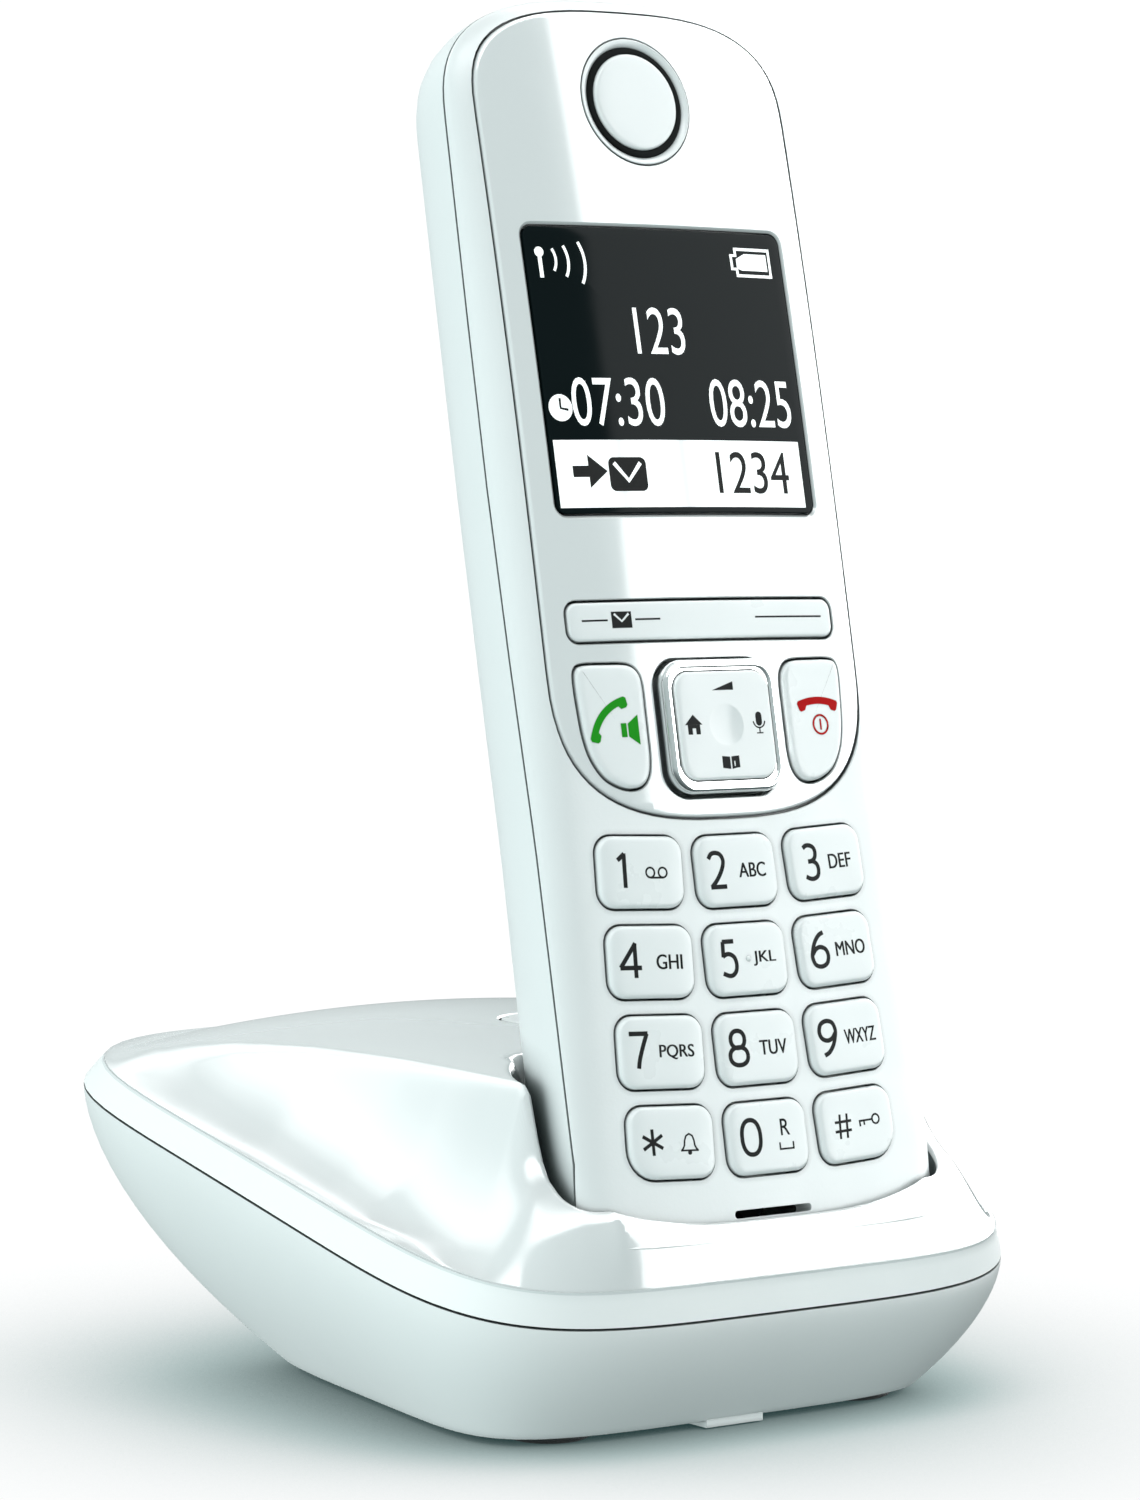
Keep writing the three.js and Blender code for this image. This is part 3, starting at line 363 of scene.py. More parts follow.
WHITE = (0.85, 0.872, 0.872)
# dark tone that the painted crevice shade falls to in joints and slots
PAINTED_SHADE = (0.02, 0.03, 0.032)
M = {
    "matte": surface("matte_white_plastic", (0.77, 0.80, 0.80), 0.38, spec=0.8, bump=0.25, bump_scale=2600, vary=0.008, crevice=(0.9, 1.5, PAINTED_SHADE)),
    # back-shell copy of the matte plastic: its wide crevice setting paints shade on the shell where the cradle pocket
    # closes in round the handset
    "matte_back": surface("matte_white_back", (0.77, 0.80, 0.80), 0.38, spec=0.8, bump=0.25, bump_scale=2600, vary=0.008, crevice=(4.5, 1.3, (0.12, 0.155, 0.155))),
    "band": surface("band_white_plastic", (0.87, 0.895, 0.89), 0.5, spec=0.35, bump=0.2, bump_scale=2600, vary=0.008, crevice=(0.7, 1.3, PAINTED_SHADE)),
    # darker copy of the white plastic for the fine groove round the gloss: painted shade
    "groove": surface("groove_white_plastic", (0.70, 0.735, 0.735), 0.5, spec=0.2, vary=0.01),
    # darker copy of the white plastic for the cradle pocket: its lower tone and wide crevice setting paint the shade
    # inside the pocket
    "pocket": surface("pocket_white_plastic", (0.62, 0.66, 0.66), 0.35, spec=0.3, vary=0.01, crevice=(3.5, 1.1, (0.12, 0.16, 0.16))),
    "hull": surface("hull_white_plastic", (0.775, 0.80, 0.795), 0.42, spec=0.4, bump=0.25, bump_scale=2600, vary=0.008, crevice=(0.8, 1.4, PAINTED_SHADE)),
    "gloss": surface("gloss_white_plastic", (0.73, 0.757, 0.757), 0.12, coat=1.0, coat_rough=0.02, vary=0.004, rough_vary=0.02, crevice=(0.6, 1.2, PAINTED_SHADE)),
    "panel": surface("panel_gloss_white", (0.80, 0.83, 0.83), 0.10, coat=1.0, coat_rough=0.015, vary=0.004, rough_vary=0.02, crevice=(0.7, 1.3, PAINTED_SHADE)),
    "key": surface("key_white_plastic", (0.82, 0.85, 0.85), 0.3, spec=0.55, bump=0.1, bump_scale=3000, vary=0.006, crevice=(0.45, 1.3, PAINTED_SHADE)),
    "pad": surface("pad_white_plastic", (0.84, 0.865, 0.865), 0.22, spec=0.45, bump=0.06, bump_scale=3000, vary=0.006, crevice=(0.5, 1.2, PAINTED_SHADE)),
    "chrome": surface("bright_chrome", (0.82, 0.84, 0.84), 0.06, metallic=1.0, vary=0.02, rough_vary=0.03),
    "black": surface("black_plastic", (0.012, 0.015, 0.016), 0.3, bump=0.2, bump_scale=2200, vary=0.1),
    "mesh": surface("black_mesh", (0.004, 0.005, 0.005), 0.75, spec=0.06, bump=0.6, bump_scale=4000, vary=0.1),
    "rubber": surface("black_rubber", (0.02, 0.021, 0.022), 0.75, bump=0.5, bump_scale=1800, vary=0.1),
    "silicone": surface("grey_silicone", (0.5, 0.52, 0.52), 0.6, bump=0.3, bump_scale=1500, vary=0.03),
    "steel": surface("plain_steel", (0.55, 0.56, 0.57), 0.3, metallic=1.0, rough_vary=0.1, rough_scale=500, brushed=(1, 30, 1), vary=0.04),
    "gold": surface("gold_contact", (0.72, 0.52, 0.2), 0.25, metallic=1.0, rough_vary=0.08, rough_scale=500, brushed=(1, 20, 1), vary=0.05),
    "board": surface("circuit_board_green", (0.02, 0.16, 0.05), 0.4, coat=0.4, bump=0.3, bump_scale=900, vary=0.25, vary_scale=350, second=(0.03, 0.24, 0.08)),
    "cell": surface("cell_sleeve_blue", (0.05, 0.2, 0.36), 0.3, coat=0.3, vary=0.06, vary_scale=120),
    "glass": surface("display_glass", (0.005, 0.0095, 0.0105), 0.05, spec=0.035, vary=0.03, rough_vary=0.01),
    "lcd": surface("display_module", (0.04, 0.05, 0.05), 0.2, vary=0.1),
    "ink": surface("black_print", (0.006, 0.007, 0.007), 0.6, spec=0.08, vary=0.1, bump=0.1),
    "green": surface("green_print", (0.015, 0.30, 0.012), 0.6, spec=0.08, vary=0.05, bump=0.1),
    "red": surface("red_print", (0.50, 0.006, 0.006), 0.6, spec=0.08, vary=0.05, bump=0.1),
    "lit": surface("display_white", (0.86, 0.88, 0.88), 0.35, vary=0.01, emission=0.55),
}


def finish_piece(o, mats, body, replaces=(), smooth=32.0):
    me = o.data
    part = np.zeros(len(me.polygons), dtype=np.int32)
    me.polygons.foreach_get("material_index", part)
    me.materials.clear()
    mats = mats if isinstance(mats, (list, tuple)) else [mats]
    for m in mats:
        me.materials.append(M[m])
    me.polygons.foreach_set("material_index", np.minimum(part, len(mats) - 1))
    me.polygons.foreach_set("use_smooth", [True] * len(me.polygons))
    me.set_sharp_from_angle(angle=math.radians(smooth))
    me.update()
    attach(o, body)
    if replaces:
        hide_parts(*replaces)
    return o


# ------------------------------------------------------------------ handset shell
SIDE_V = list(np.linspace(-18, 100, 34))


def half_outline(d):
    bb = (V_BOTC - V_BOT) - min(d, 8)
    tb = (V_TOP - V_TOPC) - min(d, 12)
    vb = V_BOTC + max(0, d - 8)
    vt = V_TOPC - max(0, d - 12)
    out = []
    for t in np.linspace(-90, 0, 16):
        c, s = math.cos(math.radians(t)), math.sin(math.radians(t))
        out.append(((half_width(V_BOTC) - d) * spow(c, 2 / 3), vb + bb * spow(s, 2 / 3)))
    for v in SIDE_V:
        out.append((half_width(v) - d, clamp(v, vb + 0.2, vt - 0.2)))
    for t in np.linspace(0, 90, 22):
        c, s = math.cos(math.radians(t)), math.sin(math.radians(t))
        out.append(((HW - d) * spow(c, 2 / 2.75), vt + tb * spow(s, 2 / 2.75)))
    out[0] = (0.0, out[0][1])
    out[-1] = (0.0, out[-1][1])
    return out


def body_solid(w, f, name, cols=20):
    half0 = half_outline(w)
    m = len(half0)
    mesh = Mesh()

    def ring_at(d, nf):
        h = half_outline(d)
        pts = [(u, v, nf(u, v)) for u, v in h] + [(-u, v, nf(-u, v)) for u, v in reversed(h[1:m - 1])]
        return mesh.ring(pts)

    rings = []
    for t in (86, 78, 70, 62, 54, 46, 38, 30, 22, 15, 8, 3):
        c, s = math.cos(math.radians(t)) ** (2 / SEC_P), math.sin(math.radians(t)) ** (2 / SEC_P)
        rings.append(ring_at(w + (HW - w) * (1 - c), lambda u, v, s=s: lerp(part_n(v), BACK_N + w, s)))
    rings.append(ring_at(w, lambda u, v: part_n(v)))
    for t in (12, 25, 38, 50, 62, 74, 90):
        d = w + EDGE_W * (1 - math.cos(math.radians(t)))
        s = math.sin(math.radians(t))
        rings.append(ring_at(d, lambda u, v, s=s: lerp(part_n(v), max(face(u, v) - f, part_n(v) + 0.05), s)))
    for a, b in zip(rings, rings[1:]):
        mesh.bridge(a, b)
    n = len(rings[0])

    def ladder(r, nf, k_cols):
        prev = None
        for k in range(m):
            R, Lf = r[k], r[(n - k) % n]
            if k in (0, m - 1):
                row = [R]
            else:
                p, q = mesh.v[Lf], mesh.v[R]
                row = [Lf]
                for c in range(1, k_cols):
                    u = lerp(p[0], q[0], c / k_cols)
                    mesh.v.append((u, p[1], nf(u, p[1]) if nf else lerp(p[2], q[2], c / k_cols)))
                    row.append(len(mesh.v) - 1)
                row.append(R)
            if prev:
                if len(prev) == 1:
                    for c in range(len(row) - 1):
                        mesh.face((prev[0], row[c], row[c + 1]))
                elif len(row) == 1:
                    for c in range(len(prev) - 1):
                        mesh.face((prev[c], prev[c + 1], row[0]))
                else:
                    for c in range(len(row) - 1):
                        mesh.face((prev[c], prev[c + 1], row[c + 1], row[c]))
            prev = row

    ladder(rings[0], None, 1)
    ladder(rings[-1], lambda u, v: max(face(u, v) - f, part_n(v) + 0.05), cols)
    return make_object(mesh, name, True)


def vn_prism(poly, u0, u1, name="region"):
    m = Mesh()
    a = m.ring([(u0, v, n) for v, n in poly])
    b = m.ring([(u1, v, n) for v, n in poly])
    m.bridge(a, b)
    m.face(a[::-1])
    m.face(b)
    return make_object(m, name, True)


def front_region(shift):
    vs = [-40, -31, -24, -16, 0, 18, 40, 60, 80, 117, 125]
    return vn_prism([(v, part_n(v) + shift) for v in vs] + [(125, 12), (-40, 12)], -32, 32)


def mirrored(h):
    return h + [(-u, v) for u, v in reversed(h[1:-1])]


def behind_keys(d, n0):
    o = mirrored(half_outline(d))
    return loft([[(u, v, n0) for u, v in o], [(u, v, 12) for u, v in o]], True)


def panel_outline(d, seg=18):
    a = 21.75 + d
    out = []
    for t in np.linspace(0, 180, 2 * seg + 1):
        c, s = math.cos(math.radians(t)), math.sin(math.radians(t))
        out.append((a * spow(c, 2 / 3), 102 + (13.1 + d) * spow(s, 2 / 3)))
    side = np.linspace(102, 38.5, 18)
    out += [(-a, v) for v in side[1:-1]]
    for t in np.linspace(180, 360, 2 * seg + 1):
        c, s = math.cos(math.radians(t)), math.sin(math.radians(t))
        out.append((a * spow(c, 2 / 2.8), 38.5 + (17.3 + d) * spow(s, 2 / 2.8)))
    out += [(a, v) for v in side[::-1][1:-1]]
    return out


def display_outline(d):
    return round_rect(0, (DISP_V0 + DISP_V1) / 2, DISP_W + 2 * d, DISP_V1 - DISP_V0 + 2 * d, max(0.2, 1.3 + d), side=10)


def soft_outline(d):
    return round_rect(0, (SOFT_V0 + SOFT_V1) / 2, 2 * (SOFT_HW + d), SOFT_V1 - SOFT_V0 + 2 * d, max(0.2, 1.3 + d), side=12)


def nav_outline(d, w=NAV_W, h=NAV_H, r=3.0):
    return round_rect(0, NAV_V, w + 2 * d, h + 2 * d, max(0.2, r + d), seg=16, side=12)


TALK_PTS = [(-9.9, 30.2), (-9.9, 33.4), (-9.92, 36.4), (-10.35, 37.9), (-11.6, 38.75), (-14.5, 38.9), (-17.4, 38.88), (-18.35, 38.4), (-18.58, 37.0), (-18.45, 34.0),
            (-18.15, 30.9), (-17.45, 28.4), (-16.1, 26.35), (-14.3, 25.25), (-12.6, 24.9), (-11.2, 25.25), (-10.3, 26.4), (-9.95, 28.2)]
TALK_LOOP = smooth_loop(TALK_PTS, 5)
END_LOOP = [(-u, v) for u, v in TALK_LOOP][::-1]


def ear_ring(r, n, count=72):
    """ring round the earpiece, in the plane that touches the face there"""
    t = -math.atan(2 * 0.00055 * (EAR_V - 50))
    base = face(0, EAR_V)
    out = []
    for i in range(count):
        a = 2 * math.pi * i / count
        x, y = r * math.cos(a), r * math.sin(a)
        out.append((x, EAR_V + y * math.cos(t) - n * math.sin(t), base + y * math.sin(t) + n * math.cos(t)))
    return out


KEYS = []
NAMES = [["key_1", "key_2", "key_3"], ["key_4", "key_5", "key_6"], ["key_7", "key_8", "key_9"], ["key_star", "key_0", "key_hash"]]
for r in range(4):
    for c in range(3):
        side = c - 1
        KEYS.append(dict(name=NAMES[r][c], u=side * KEY_PX, v=(1.5 - r) * KEY_PY + (KEY_UP if side else 0), turn=side * KEY_TURN,
                         radii=[KEY_R, KEY_R, 3.4 if (r == 3 and side < 0) else KEY_R, 3.4 if (r == 3 and side > 0) else KEY_R]))


def key_outline(k, d):
    return round_rect(k["u"], k["v"], KEY_W + 2 * d, KEY_H + 2 * d, [max(0.2, x + d) for x in k["radii"]], k["turn"])


outer = body_solid(0, 0, "outer")
inner = body_solid(WALL, FACE_WALL, "inner", 8)
boolean(outer, inner)
front = copy_of(outer, "handset_front_shell_fine")
back = outer
back.name = "handset_back_shell_fine"
region = boolean(front_region(GAP / 2), behind_keys(3.0, -6.2), "UNION")
boolean(front, region, "INTERSECT")
region = boolean(front_region(-GAP / 2), behind_keys(2.7, -6.5), "UNION")
boolean(back, region, "DIFFERENCE")

# front shell openings
recess = tool(panel_outline, [(0.25, -PANEL_T - GAP, True), (0.25, -0.12, True), (0.37, 0.0, True), (0.5, 0.5, True), (0.5, 5, True)])
boolean(front, recess)
cuts = [cutter(lambda d, k=k: key_outline(k, d), 0.2, 0.08) for k in KEYS]
cuts.append(tool(lambda d: round_rect(0, 72.66, 33, 29.4, 1.0), [(0, -9, False), (0, 3, False)]))
cuts.append(loft([ear_ring(4.6, -9), ear_ring(4.6, 3)], True))
cuts.append(tool(soft_outline, [(0.3, -9, False), (0.3, 4, False)]))
cuts.append(tool(nav_outline, [(0.4, -9, False), (0.4, 4, False)]))
cuts.append(tool(lambda d: grow(TALK_LOOP, d), [(0.3, -9, False), (0.3, 4, False)]))
cuts.append(tool(lambda d: grow(END_LOOP, d), [(0.3, -9, False), (0.3, 4, False)]))
cuts.append(tool(lambda d: round_rect(0, -23.3, 10.8, 0.9, 0.4), [(0, -9, False), (0, 3, False)]))
boolean(front, join(cuts, "cutters"))
finish_piece(front, "matte", "handset", ["handset_front_shell"])

# gloss panel: rounded edge, openings with small chamfers
def grid_slab(us, vs, top, bottom):
    m = Mesh()
    idx = {}
    for k, f in enumerate((top, bottom)):
        for j, v in enumerate(vs):
            for i, u in enumerate(us):
                idx[k, j, i] = len(m.v)
                m.v.append((u, v, f(u, v)))
    nu, nv = len(us), len(vs)
    for j in range(nv - 1):
        for i in range(nu - 1):
            for k in (0, 1):
                q = (idx[k, j, i], idx[k, j, i + 1], idx[k, j + 1, i + 1], idx[k, j + 1, i])
                m.face(q if k == 0 else q[::-1])
    for i in range(nu - 1):
        m.face((idx[0, 0, i], idx[1, 0, i], idx[1, 0, i + 1], idx[0, 0, i + 1]))
        m.face((idx[0, nv - 1, i + 1], idx[1, nv - 1, i + 1], idx[1, nv - 1, i], idx[0, nv - 1, i]))
    for j in range(nv - 1):
        m.face((idx[0, j, nu - 1], idx[1, j, nu - 1], idx[1, j + 1, nu - 1], idx[0, j + 1, nu - 1]))
        m.face((idx[0, j + 1, 0], idx[1, j + 1, 0], idx[1, j, 0], idx[0, j, 0]))
    return make_object(m, "slab", True)


panel = tool(panel_outline, [(0, -PANEL_T, True), (0, -0.42, True), (-0.05, -0.24, True), (-0.16, -0.1, True), (-0.32, -0.02, True), (-0.6, 0.05, True), (-0.8, 0.4, True), (-0.8, 6, False)], "gloss_panel_fine")
boolean(panel, grid_slab(np.linspace(-26, 26, 79), np.linspace(15, 122, 130), lambda u, v: face(u, v), lambda u, v: face(u, v) - 3), "INTERSECT")
cuts = [tool(display_outline, [(0.15, -9, False), (0.15, -0.25, True), (0.45, 0.0, True), (0.8, 0.5, True), (0.8, 4, True)]),
        loft([ear_ring(EAR_R_BEZEL + 0.15, -6), ear_ring(EAR_R_BEZEL + 0.15, -0.12), ear_ring(EAR_R_BEZEL + 0.3, 0.02), ear_ring(EAR_R_BEZEL + 0.3, 4)], True),
        cutter(soft_outline, 0.28, 0.12), cutter(nav_outline, 0.38, 0.12),
        cutter(lambda d: grow(TALK_LOOP, d), 0.28, 0.12), cutter(lambda d: grow(END_LOOP, d), 0.28, 0.12)]
boolean(panel, join(cuts, "cutters"))
finish_piece(panel, "panel", "handset", ["gloss_panel"], smooth=14)

# back shell: battery cover, ringer slots, screw wells, charging slots
def cover_outline(d):
    return round_rect(0, 33.2, 31 + 2 * d, 58 + 2 * d, 4 + d, side=14)


cover_blank = loft([[(u, v, -30) for u, v in cover_outline(-0.2)], [(u, v, -17.8) for u, v in cover_outline(-0.2)]], True)
battery_cover = copy_of(back, "battery_cover_fine")
boolean(battery_cover, cover_blank, "INTERSECT")
grip = [tool(lambda d, i=i: round_rect(0, 57.5 - i * 1.5, 11 - 0.6 * i, 0.55, 0.27), [(0, -30, False), (0, -23.2, False)]) for i in range(4)]
boolean(battery_cover, join(grip, "grips"))
finish_piece(battery_cover, "matte", "battery_cover", ["battery_cover"])
cuts = [loft([[(u, v, -30) for u, v in cover_outline(0)], [(u, v, -17.5) for u, v in cover_outline(0)]], True)]
for i in range(-2, 3):
    cuts.append(tool(lambda d, i=i: round_rect(i * 2.6, 84, 1.1, 11 - abs(i) * 1.8, 0.5), [(0, -30, False), (0, -19, False)]))
boolean(back, join(cuts, "cutters"))
def box_solid(u0, u1, v0, v1, n0, n1):
    return loft([[(u0, v0, n0), (u1, v0, n0), (u1, v1, n0), (u0, v1, n0)], [(u0, v0, n1), (u1, v0, n1), (u1, v1, n1), (u0, v1, n1)]], True)


tray = box_solid(-13, 13, 8.3, 58, -18.4, -8.6)
boolean(tray, box_solid(-11.8, 11.8, 9.5, 56.8, -19, -9.5))
boolean(back, tray, "UNION")
for x in (-13.5, 13.5):
    well = loft([[(x + 3.2 * math.cos(a), 97 + 3.2 * math.sin(a), n) for a in np.linspace(0, 2 * math.pi, 33)[:-1]] for n in (-22.5, -7.1)], True)
    whole = body_solid(0.3, 1.0, "whole", 2)
    boolean(well, whole, "INTERSECT")
    boolean(back, well, "UNION")
    hole = loft([[(x + r * math.cos(a), 97 + r * math.sin(a), n) for a in np.linspace(0, 2 * math.pi, 33)[:-1]] for r, n in ((2.3, -30), (2.3, -14.0), (1.15, -13.9), (1.15, -6))], True)
    boolean(back, hole)
for a, b in ((-11, -7), (7, 11)):
    boolean(back, box_solid(a - GAP, b + GAP, -34, -25.4, -12.3, -8.7))
finish_piece(back, "matte_back", "handset", ["handset_back_shell"])

# ------------------------------------------------------------------ display, earpiece
window = tool(lambda d: display_outline(d), [(-0.12, -1.1, True), (-0.12, -0.12, True), (-0.2, -0.04, True), (-0.35, -0.02, True)], "display_window_fine")
finish_piece(window, "glass", "handset", ["display_window"])

bezel = loft([ear_ring(r, n) for r, n in ((EAR_R_SLOT, -0.9), (7.45, -0.9), (EAR_R_BEZEL, -0.5), (EAR_R_BEZEL, -0.02), (7.42, 0.03), (7.3, 0.02), (6.95, -0.16), (6.66, -0.38), (EAR_R_SLOT, -0.5))] + [ear_ring(EAR_R_SLOT, -0.9)], True, "earpiece_bezel_fine", close=False)
finish_piece(bezel, "pad", "handset", ["earpiece_bezel"])
ringm = loft([ear_ring(r, n) for r, n in ((3.9, -1.22), (7.2, -1.22), (7.2, -1.04), (6.57, -1.0), (6.57, -0.34), (6.45, -0.27), (5.93, -0.24), (5.81, -0.3), (5.81, -1.0), (3.9, -1.04), (3.9, -1.22))], True, "earpiece_ring_fine", close=False)
finish_piece(ringm, "mesh", "handset", ["earpiece_mesh"])
disc = loft([ear_ring(r, n) for r, n in ((1.0, -2.6), (3.6, -2.6), (3.6, -0.9), (EAR_R_DISC, -0.9), (EAR_R_DISC, -0.22), (5.7, -0.06), (5.58, 0.03), (5.4, 0.08), (5.1, 0.1), (3.6, 0.13), (1.5, 0.15))], True, "earpiece_disc_fine")
finish_piece(disc, "pad", "handset", ["earpiece_disc"])


# ------------------------------------------------------------------ keys
def key_piece(outline_at, top, name, skirt=-3.4, flange=0.42, fillet=0.55, crown=0.06, surf=face, steps=3):
    lv = []
    if flange:
        lv += [(flange, -4.1, True), (flange, -3.3, True)]
    lv += [(0, skirt + 0.1, True), (0, top - fillet, True)]
    for t in (20, 40, 60, 78):
        lv.append((-fillet * (1 - math.cos(math.radians(t))), top - fillet + (fillet - crown) * math.sin(math.radians(t)), True))
    lv += [(-fillet - 0.25, top - crown * 0.55, True), (-fillet - 0.8, top - crown * 0.2, True), (-fillet - 1.5, top, True)][:steps]
    return tool(outline_at, lv, name, surf)


for k in KEYS:
    o = key_piece(lambda d, k=k: key_outline(k, d), KEY_PROUD, k["name"] + "_cap")
    finish_piece(o, "key", k["name"], [k["name"]])
talk = key_piece(lambda d: grow(TALK_LOOP, d), 0.55, "talk_key_cap", flange=0, steps=1)
finish_piece(talk, "key", "talk_key", ["talk_key"])
endk = key_piece(lambda d: grow(END_LOOP, d), 0.55, "end_key_cap", flange=0, steps=1)
finish_piece(endk, "key", "end_key", ["end_key"])
soft = key_piece(soft_outline, 0.22, "softkey_bar_cap", flange=0, fillet=0.4, crown=0.05)
finish_piece(soft, "key", "softkey_bar", ["softkey_bar"])


def flat0(u, v):
    return 0.0


lv = [(0, -1.2), (0, 0.55)] + [(-0.55 * (1 - math.cos(math.radians(a))), 0.55 + 0.95 * math.sin(math.radians(a))) for a in range(8, 91, 8)] + [(-0.64, 1.5), (-0.75, 1.49), (-0.85, 1.465), (-0.93, 1.43), (-0.99, 1.39), (-1.03, 1.33), (-1.05, 1.25)]
navf = Mesh()
rs = [navf.ring([(u, v, n) for u, v in nav_outline(d)]) for d, n in lv]
inner_w = [(PAD_W + 0.3, PAD_H + 0.3, 2.35, 1.25), (PAD_W + 0.3, PAD_H + 0.3, 2.35, -1.2)]
rs += [navf.ring([(u, v, n) for u, v in nav_outline(0, w, h, r)]) for w, h, r, n in inner_w]
for a, b in zip(rs, rs[1:]):
    navf.bridge(a, b)
navf.bridge(rs[-1], rs[0])
navframe = make_object(navf, "nav_key_frame_fine", True)
finish_piece(navframe, "chrome", "nav_key", ["nav_key_frame"], smooth=60)


def pad_surf(u, v):
    d = math.hypot(u - 0.0, v - NAV_V)
    return 1.66 - (0.32 * (1 - (d / 2.3) ** 2) if d < 2.3 else 0.0)


padm = Mesh()
pr = []
for d, n in ((-1.2, -3.5), (-1.2, -1.2), (0, -1.15), (0, 1.3), (-0.06, 1.5), (-0.2, 1.62), (-0.4, 1.66), (-1.0, 1.68)):
    pr.append(padm.ring([(u, v, n) for u, v in nav_outline(d, PAD_W, PAD_H, 2.2)]))
last = [padm.v[i] for i in pr[-1]]
cnt = len(last)
for rad in (2.75, 2.5, 2.38, 2.3, 2.1, 1.7, 1.2, 0.6):
    pts = []
    for (u, v, n) in last:
        a = math.atan2(v - NAV_V, u)
        x, y = rad * math.cos(a), NAV_V + rad * math.sin(a)
        e = 0.0 if rad >= 2.4 else 0.26 * (1 - (rad / 2.4) ** 2)
        pts.append((x, y, 1.70 - e))
    pr.append(padm.ring(pts))
for a, b in zip(pr, pr[1:]):
    padm.bridge(a, b)
padm.fan(pr[0], True)
padm.fan(pr[-1], False)
navpad = make_object(padm, "nav_key_pad_fine", True)
finish_piece(navpad, "pad", "nav_key", ["nav_key_pad"])

# ------------------------------------------------------------------ printed marks
MARKS = []


def slab_from_polys(polys, surf, name, mat, body, lift=0.018, thick=0.03):
    """thin closed slabs that lie on a surface; polys are outlines in (u, v)"""
    m = Mesh()
    for poly in polys:
        t = m.ring([(u, v, surf(u, v) + lift) for u, v in poly])
        b = m.ring([(u, v, surf(u, v) + lift - thick) for u, v in poly])
        m.face(t)
        m.face(b[::-1])
        m.bridge(b, t)
    o = make_object(m, name, True)
    return finish_piece(o, mat, body)


def band(poly, w):
    """outline of a line of width w along the points"""
    left, right = [], []
    n = len(poly)
    for i, p in enumerate(poly):
        a, b = poly[max(0, i - 1)], poly[min(n - 1, i + 1)]
        ex, ey = b[0] - a[0], b[1] - a[1]
        l = math.hypot(ex, ey) or 1
        nx, ny = -ey / l * w / 2, ex / l * w / 2
        left.append((p[0] + nx, p[1] + ny))
        right.append((p[0] - nx, p[1] - ny))
    return left + right[::-1]


def circle(cx, cy, r, n=28, rx=None):
    return [(cx + (rx or r) * math.cos(2 * math.pi * i / n), cy + r * math.sin(2 * math.pi * i / n)) for i in range(n)]


def ring_polys(cx, cy, r0, r1, n=28, a0=0, a1=360):
    out = []
    for i in range(n):
        p, q = math.radians(lerp(a0, a1, i / n)), math.radians(lerp(a0, a1, (i + 1) / n))
        out.append([(cx + r1 * math.cos(p), cy + r1 * math.sin(p)), (cx + r1 * math.cos(q), cy + r1 * math.sin(q)),
                    (cx + r0 * math.cos(q), cy + r0 * math.sin(q)), (cx + r0 * math.cos(p), cy + r0 * math.sin(p))])
    return out


def text_mesh(body_text, height, cx, cy, surf, name, mat, body, turn=0.0, about=None, narrow=1.0, thin=0.0, lift=0.018, align="CENTER", width=None):
    """plain figures and letters as thin solids lying on a surface; height is the height of a capital"""
    cu = bpy.data.curves.new(name, "FONT")
    cu.body = body_text
    cu.size = 1.0
    cu.align_x = align
    cu.align_y = "CENTER"
    cu.extrude = 0.5
    cu.offset = thin
    cu.resolution_u = 5
    tmp = bpy.data.objects.new(name, cu)
    bpy.context.scene.collection.objects.link(tmp)
    bpy.context.view_layer.update()
    dg = bpy.context.evaluated_depsgraph_get()
    me = bpy.data.meshes.new_from_object(tmp.evaluated_get(dg))
    bpy.data.objects.remove(tmp)
    xs = [v.co.x for v in me.vertices]
    ys = [v.co.y for v in me.vertices]
    h0 = max(ys) - min(ys)
    sc = height / h0
    mx, my = (max(xs) + min(xs)) / 2, (max(ys) + min(ys)) / 2
    if align == "LEFT":
        mx = min(xs)
    if width:
        narrow = width / ((max(xs) - min(xs)) * sc)
    c, s = math.cos(math.radians(turn)), math.sin(math.radians(turn))
    for v in me.vertices:
        x, y = (v.co.x - mx) * sc * narrow + cx, (v.co.y - my) * sc + cy
        if about:
            dx, dy = x - about[0], y - about[1]
            x, y = about[0] + dx * c - dy * s, about[1] + dx * s + dy * c
        n = surf(x, y) + (lift if v.co.z > 0 else lift - 0.035)
        v.co = Vector([q / 1000 for q in H(x, y, n)])
    bm = bmesh.new()
    bm.from_mesh(me)
    bmesh.ops.remove_doubles(bm, verts=bm.verts, dist=2e-7)
    bmesh.ops.recalc_face_normals(bm, faces=bm.faces)
    bm.to_mesh(me)
    bm.free()
    o = bpy.data.objects.new(name, me)
    bpy.context.scene.collection.objects.link(o)
    return finish_piece(o, mat, body)


def key_surf(u, v):
    return face(u, v) + KEY_PROUD


def curve(pts, per=5):
    """open smooth curve through the points"""
    P = [np.array(q, float) for q in pts]
    P = [2 * P[0] - P[1]] + P + [2 * P[-1] - P[-2]]
    out = []
    for i in range(1, len(P) - 2):
        p0, p1, p2, p3 = P[i - 1:i + 3]
        for k in range(per):
            t = k / per
            out.append(tuple(0.5 * ((2 * p1) + (-p0 + p2) * t + (2 * p0 - 5 * p1 + 4 * p2 - p3) * t * t + (-p0 + 3 * p1 - 3 * p2 + p3) * t ** 3)))
    out.append(tuple(P[-2]))
    return out


def oval(cx, cy, rx, ry, p=2.2, n=40):
    """two halves of a closed loop"""
    pts = [(cx + rx * spow(math.cos(2 * math.pi * i / n), 2 / p), cy + ry * spow(math.sin(2 * math.pi * i / n), 2 / p)) for i in range(n)]
    return [pts[:n // 2 + 1], pts[n // 2:] + pts[:1]]


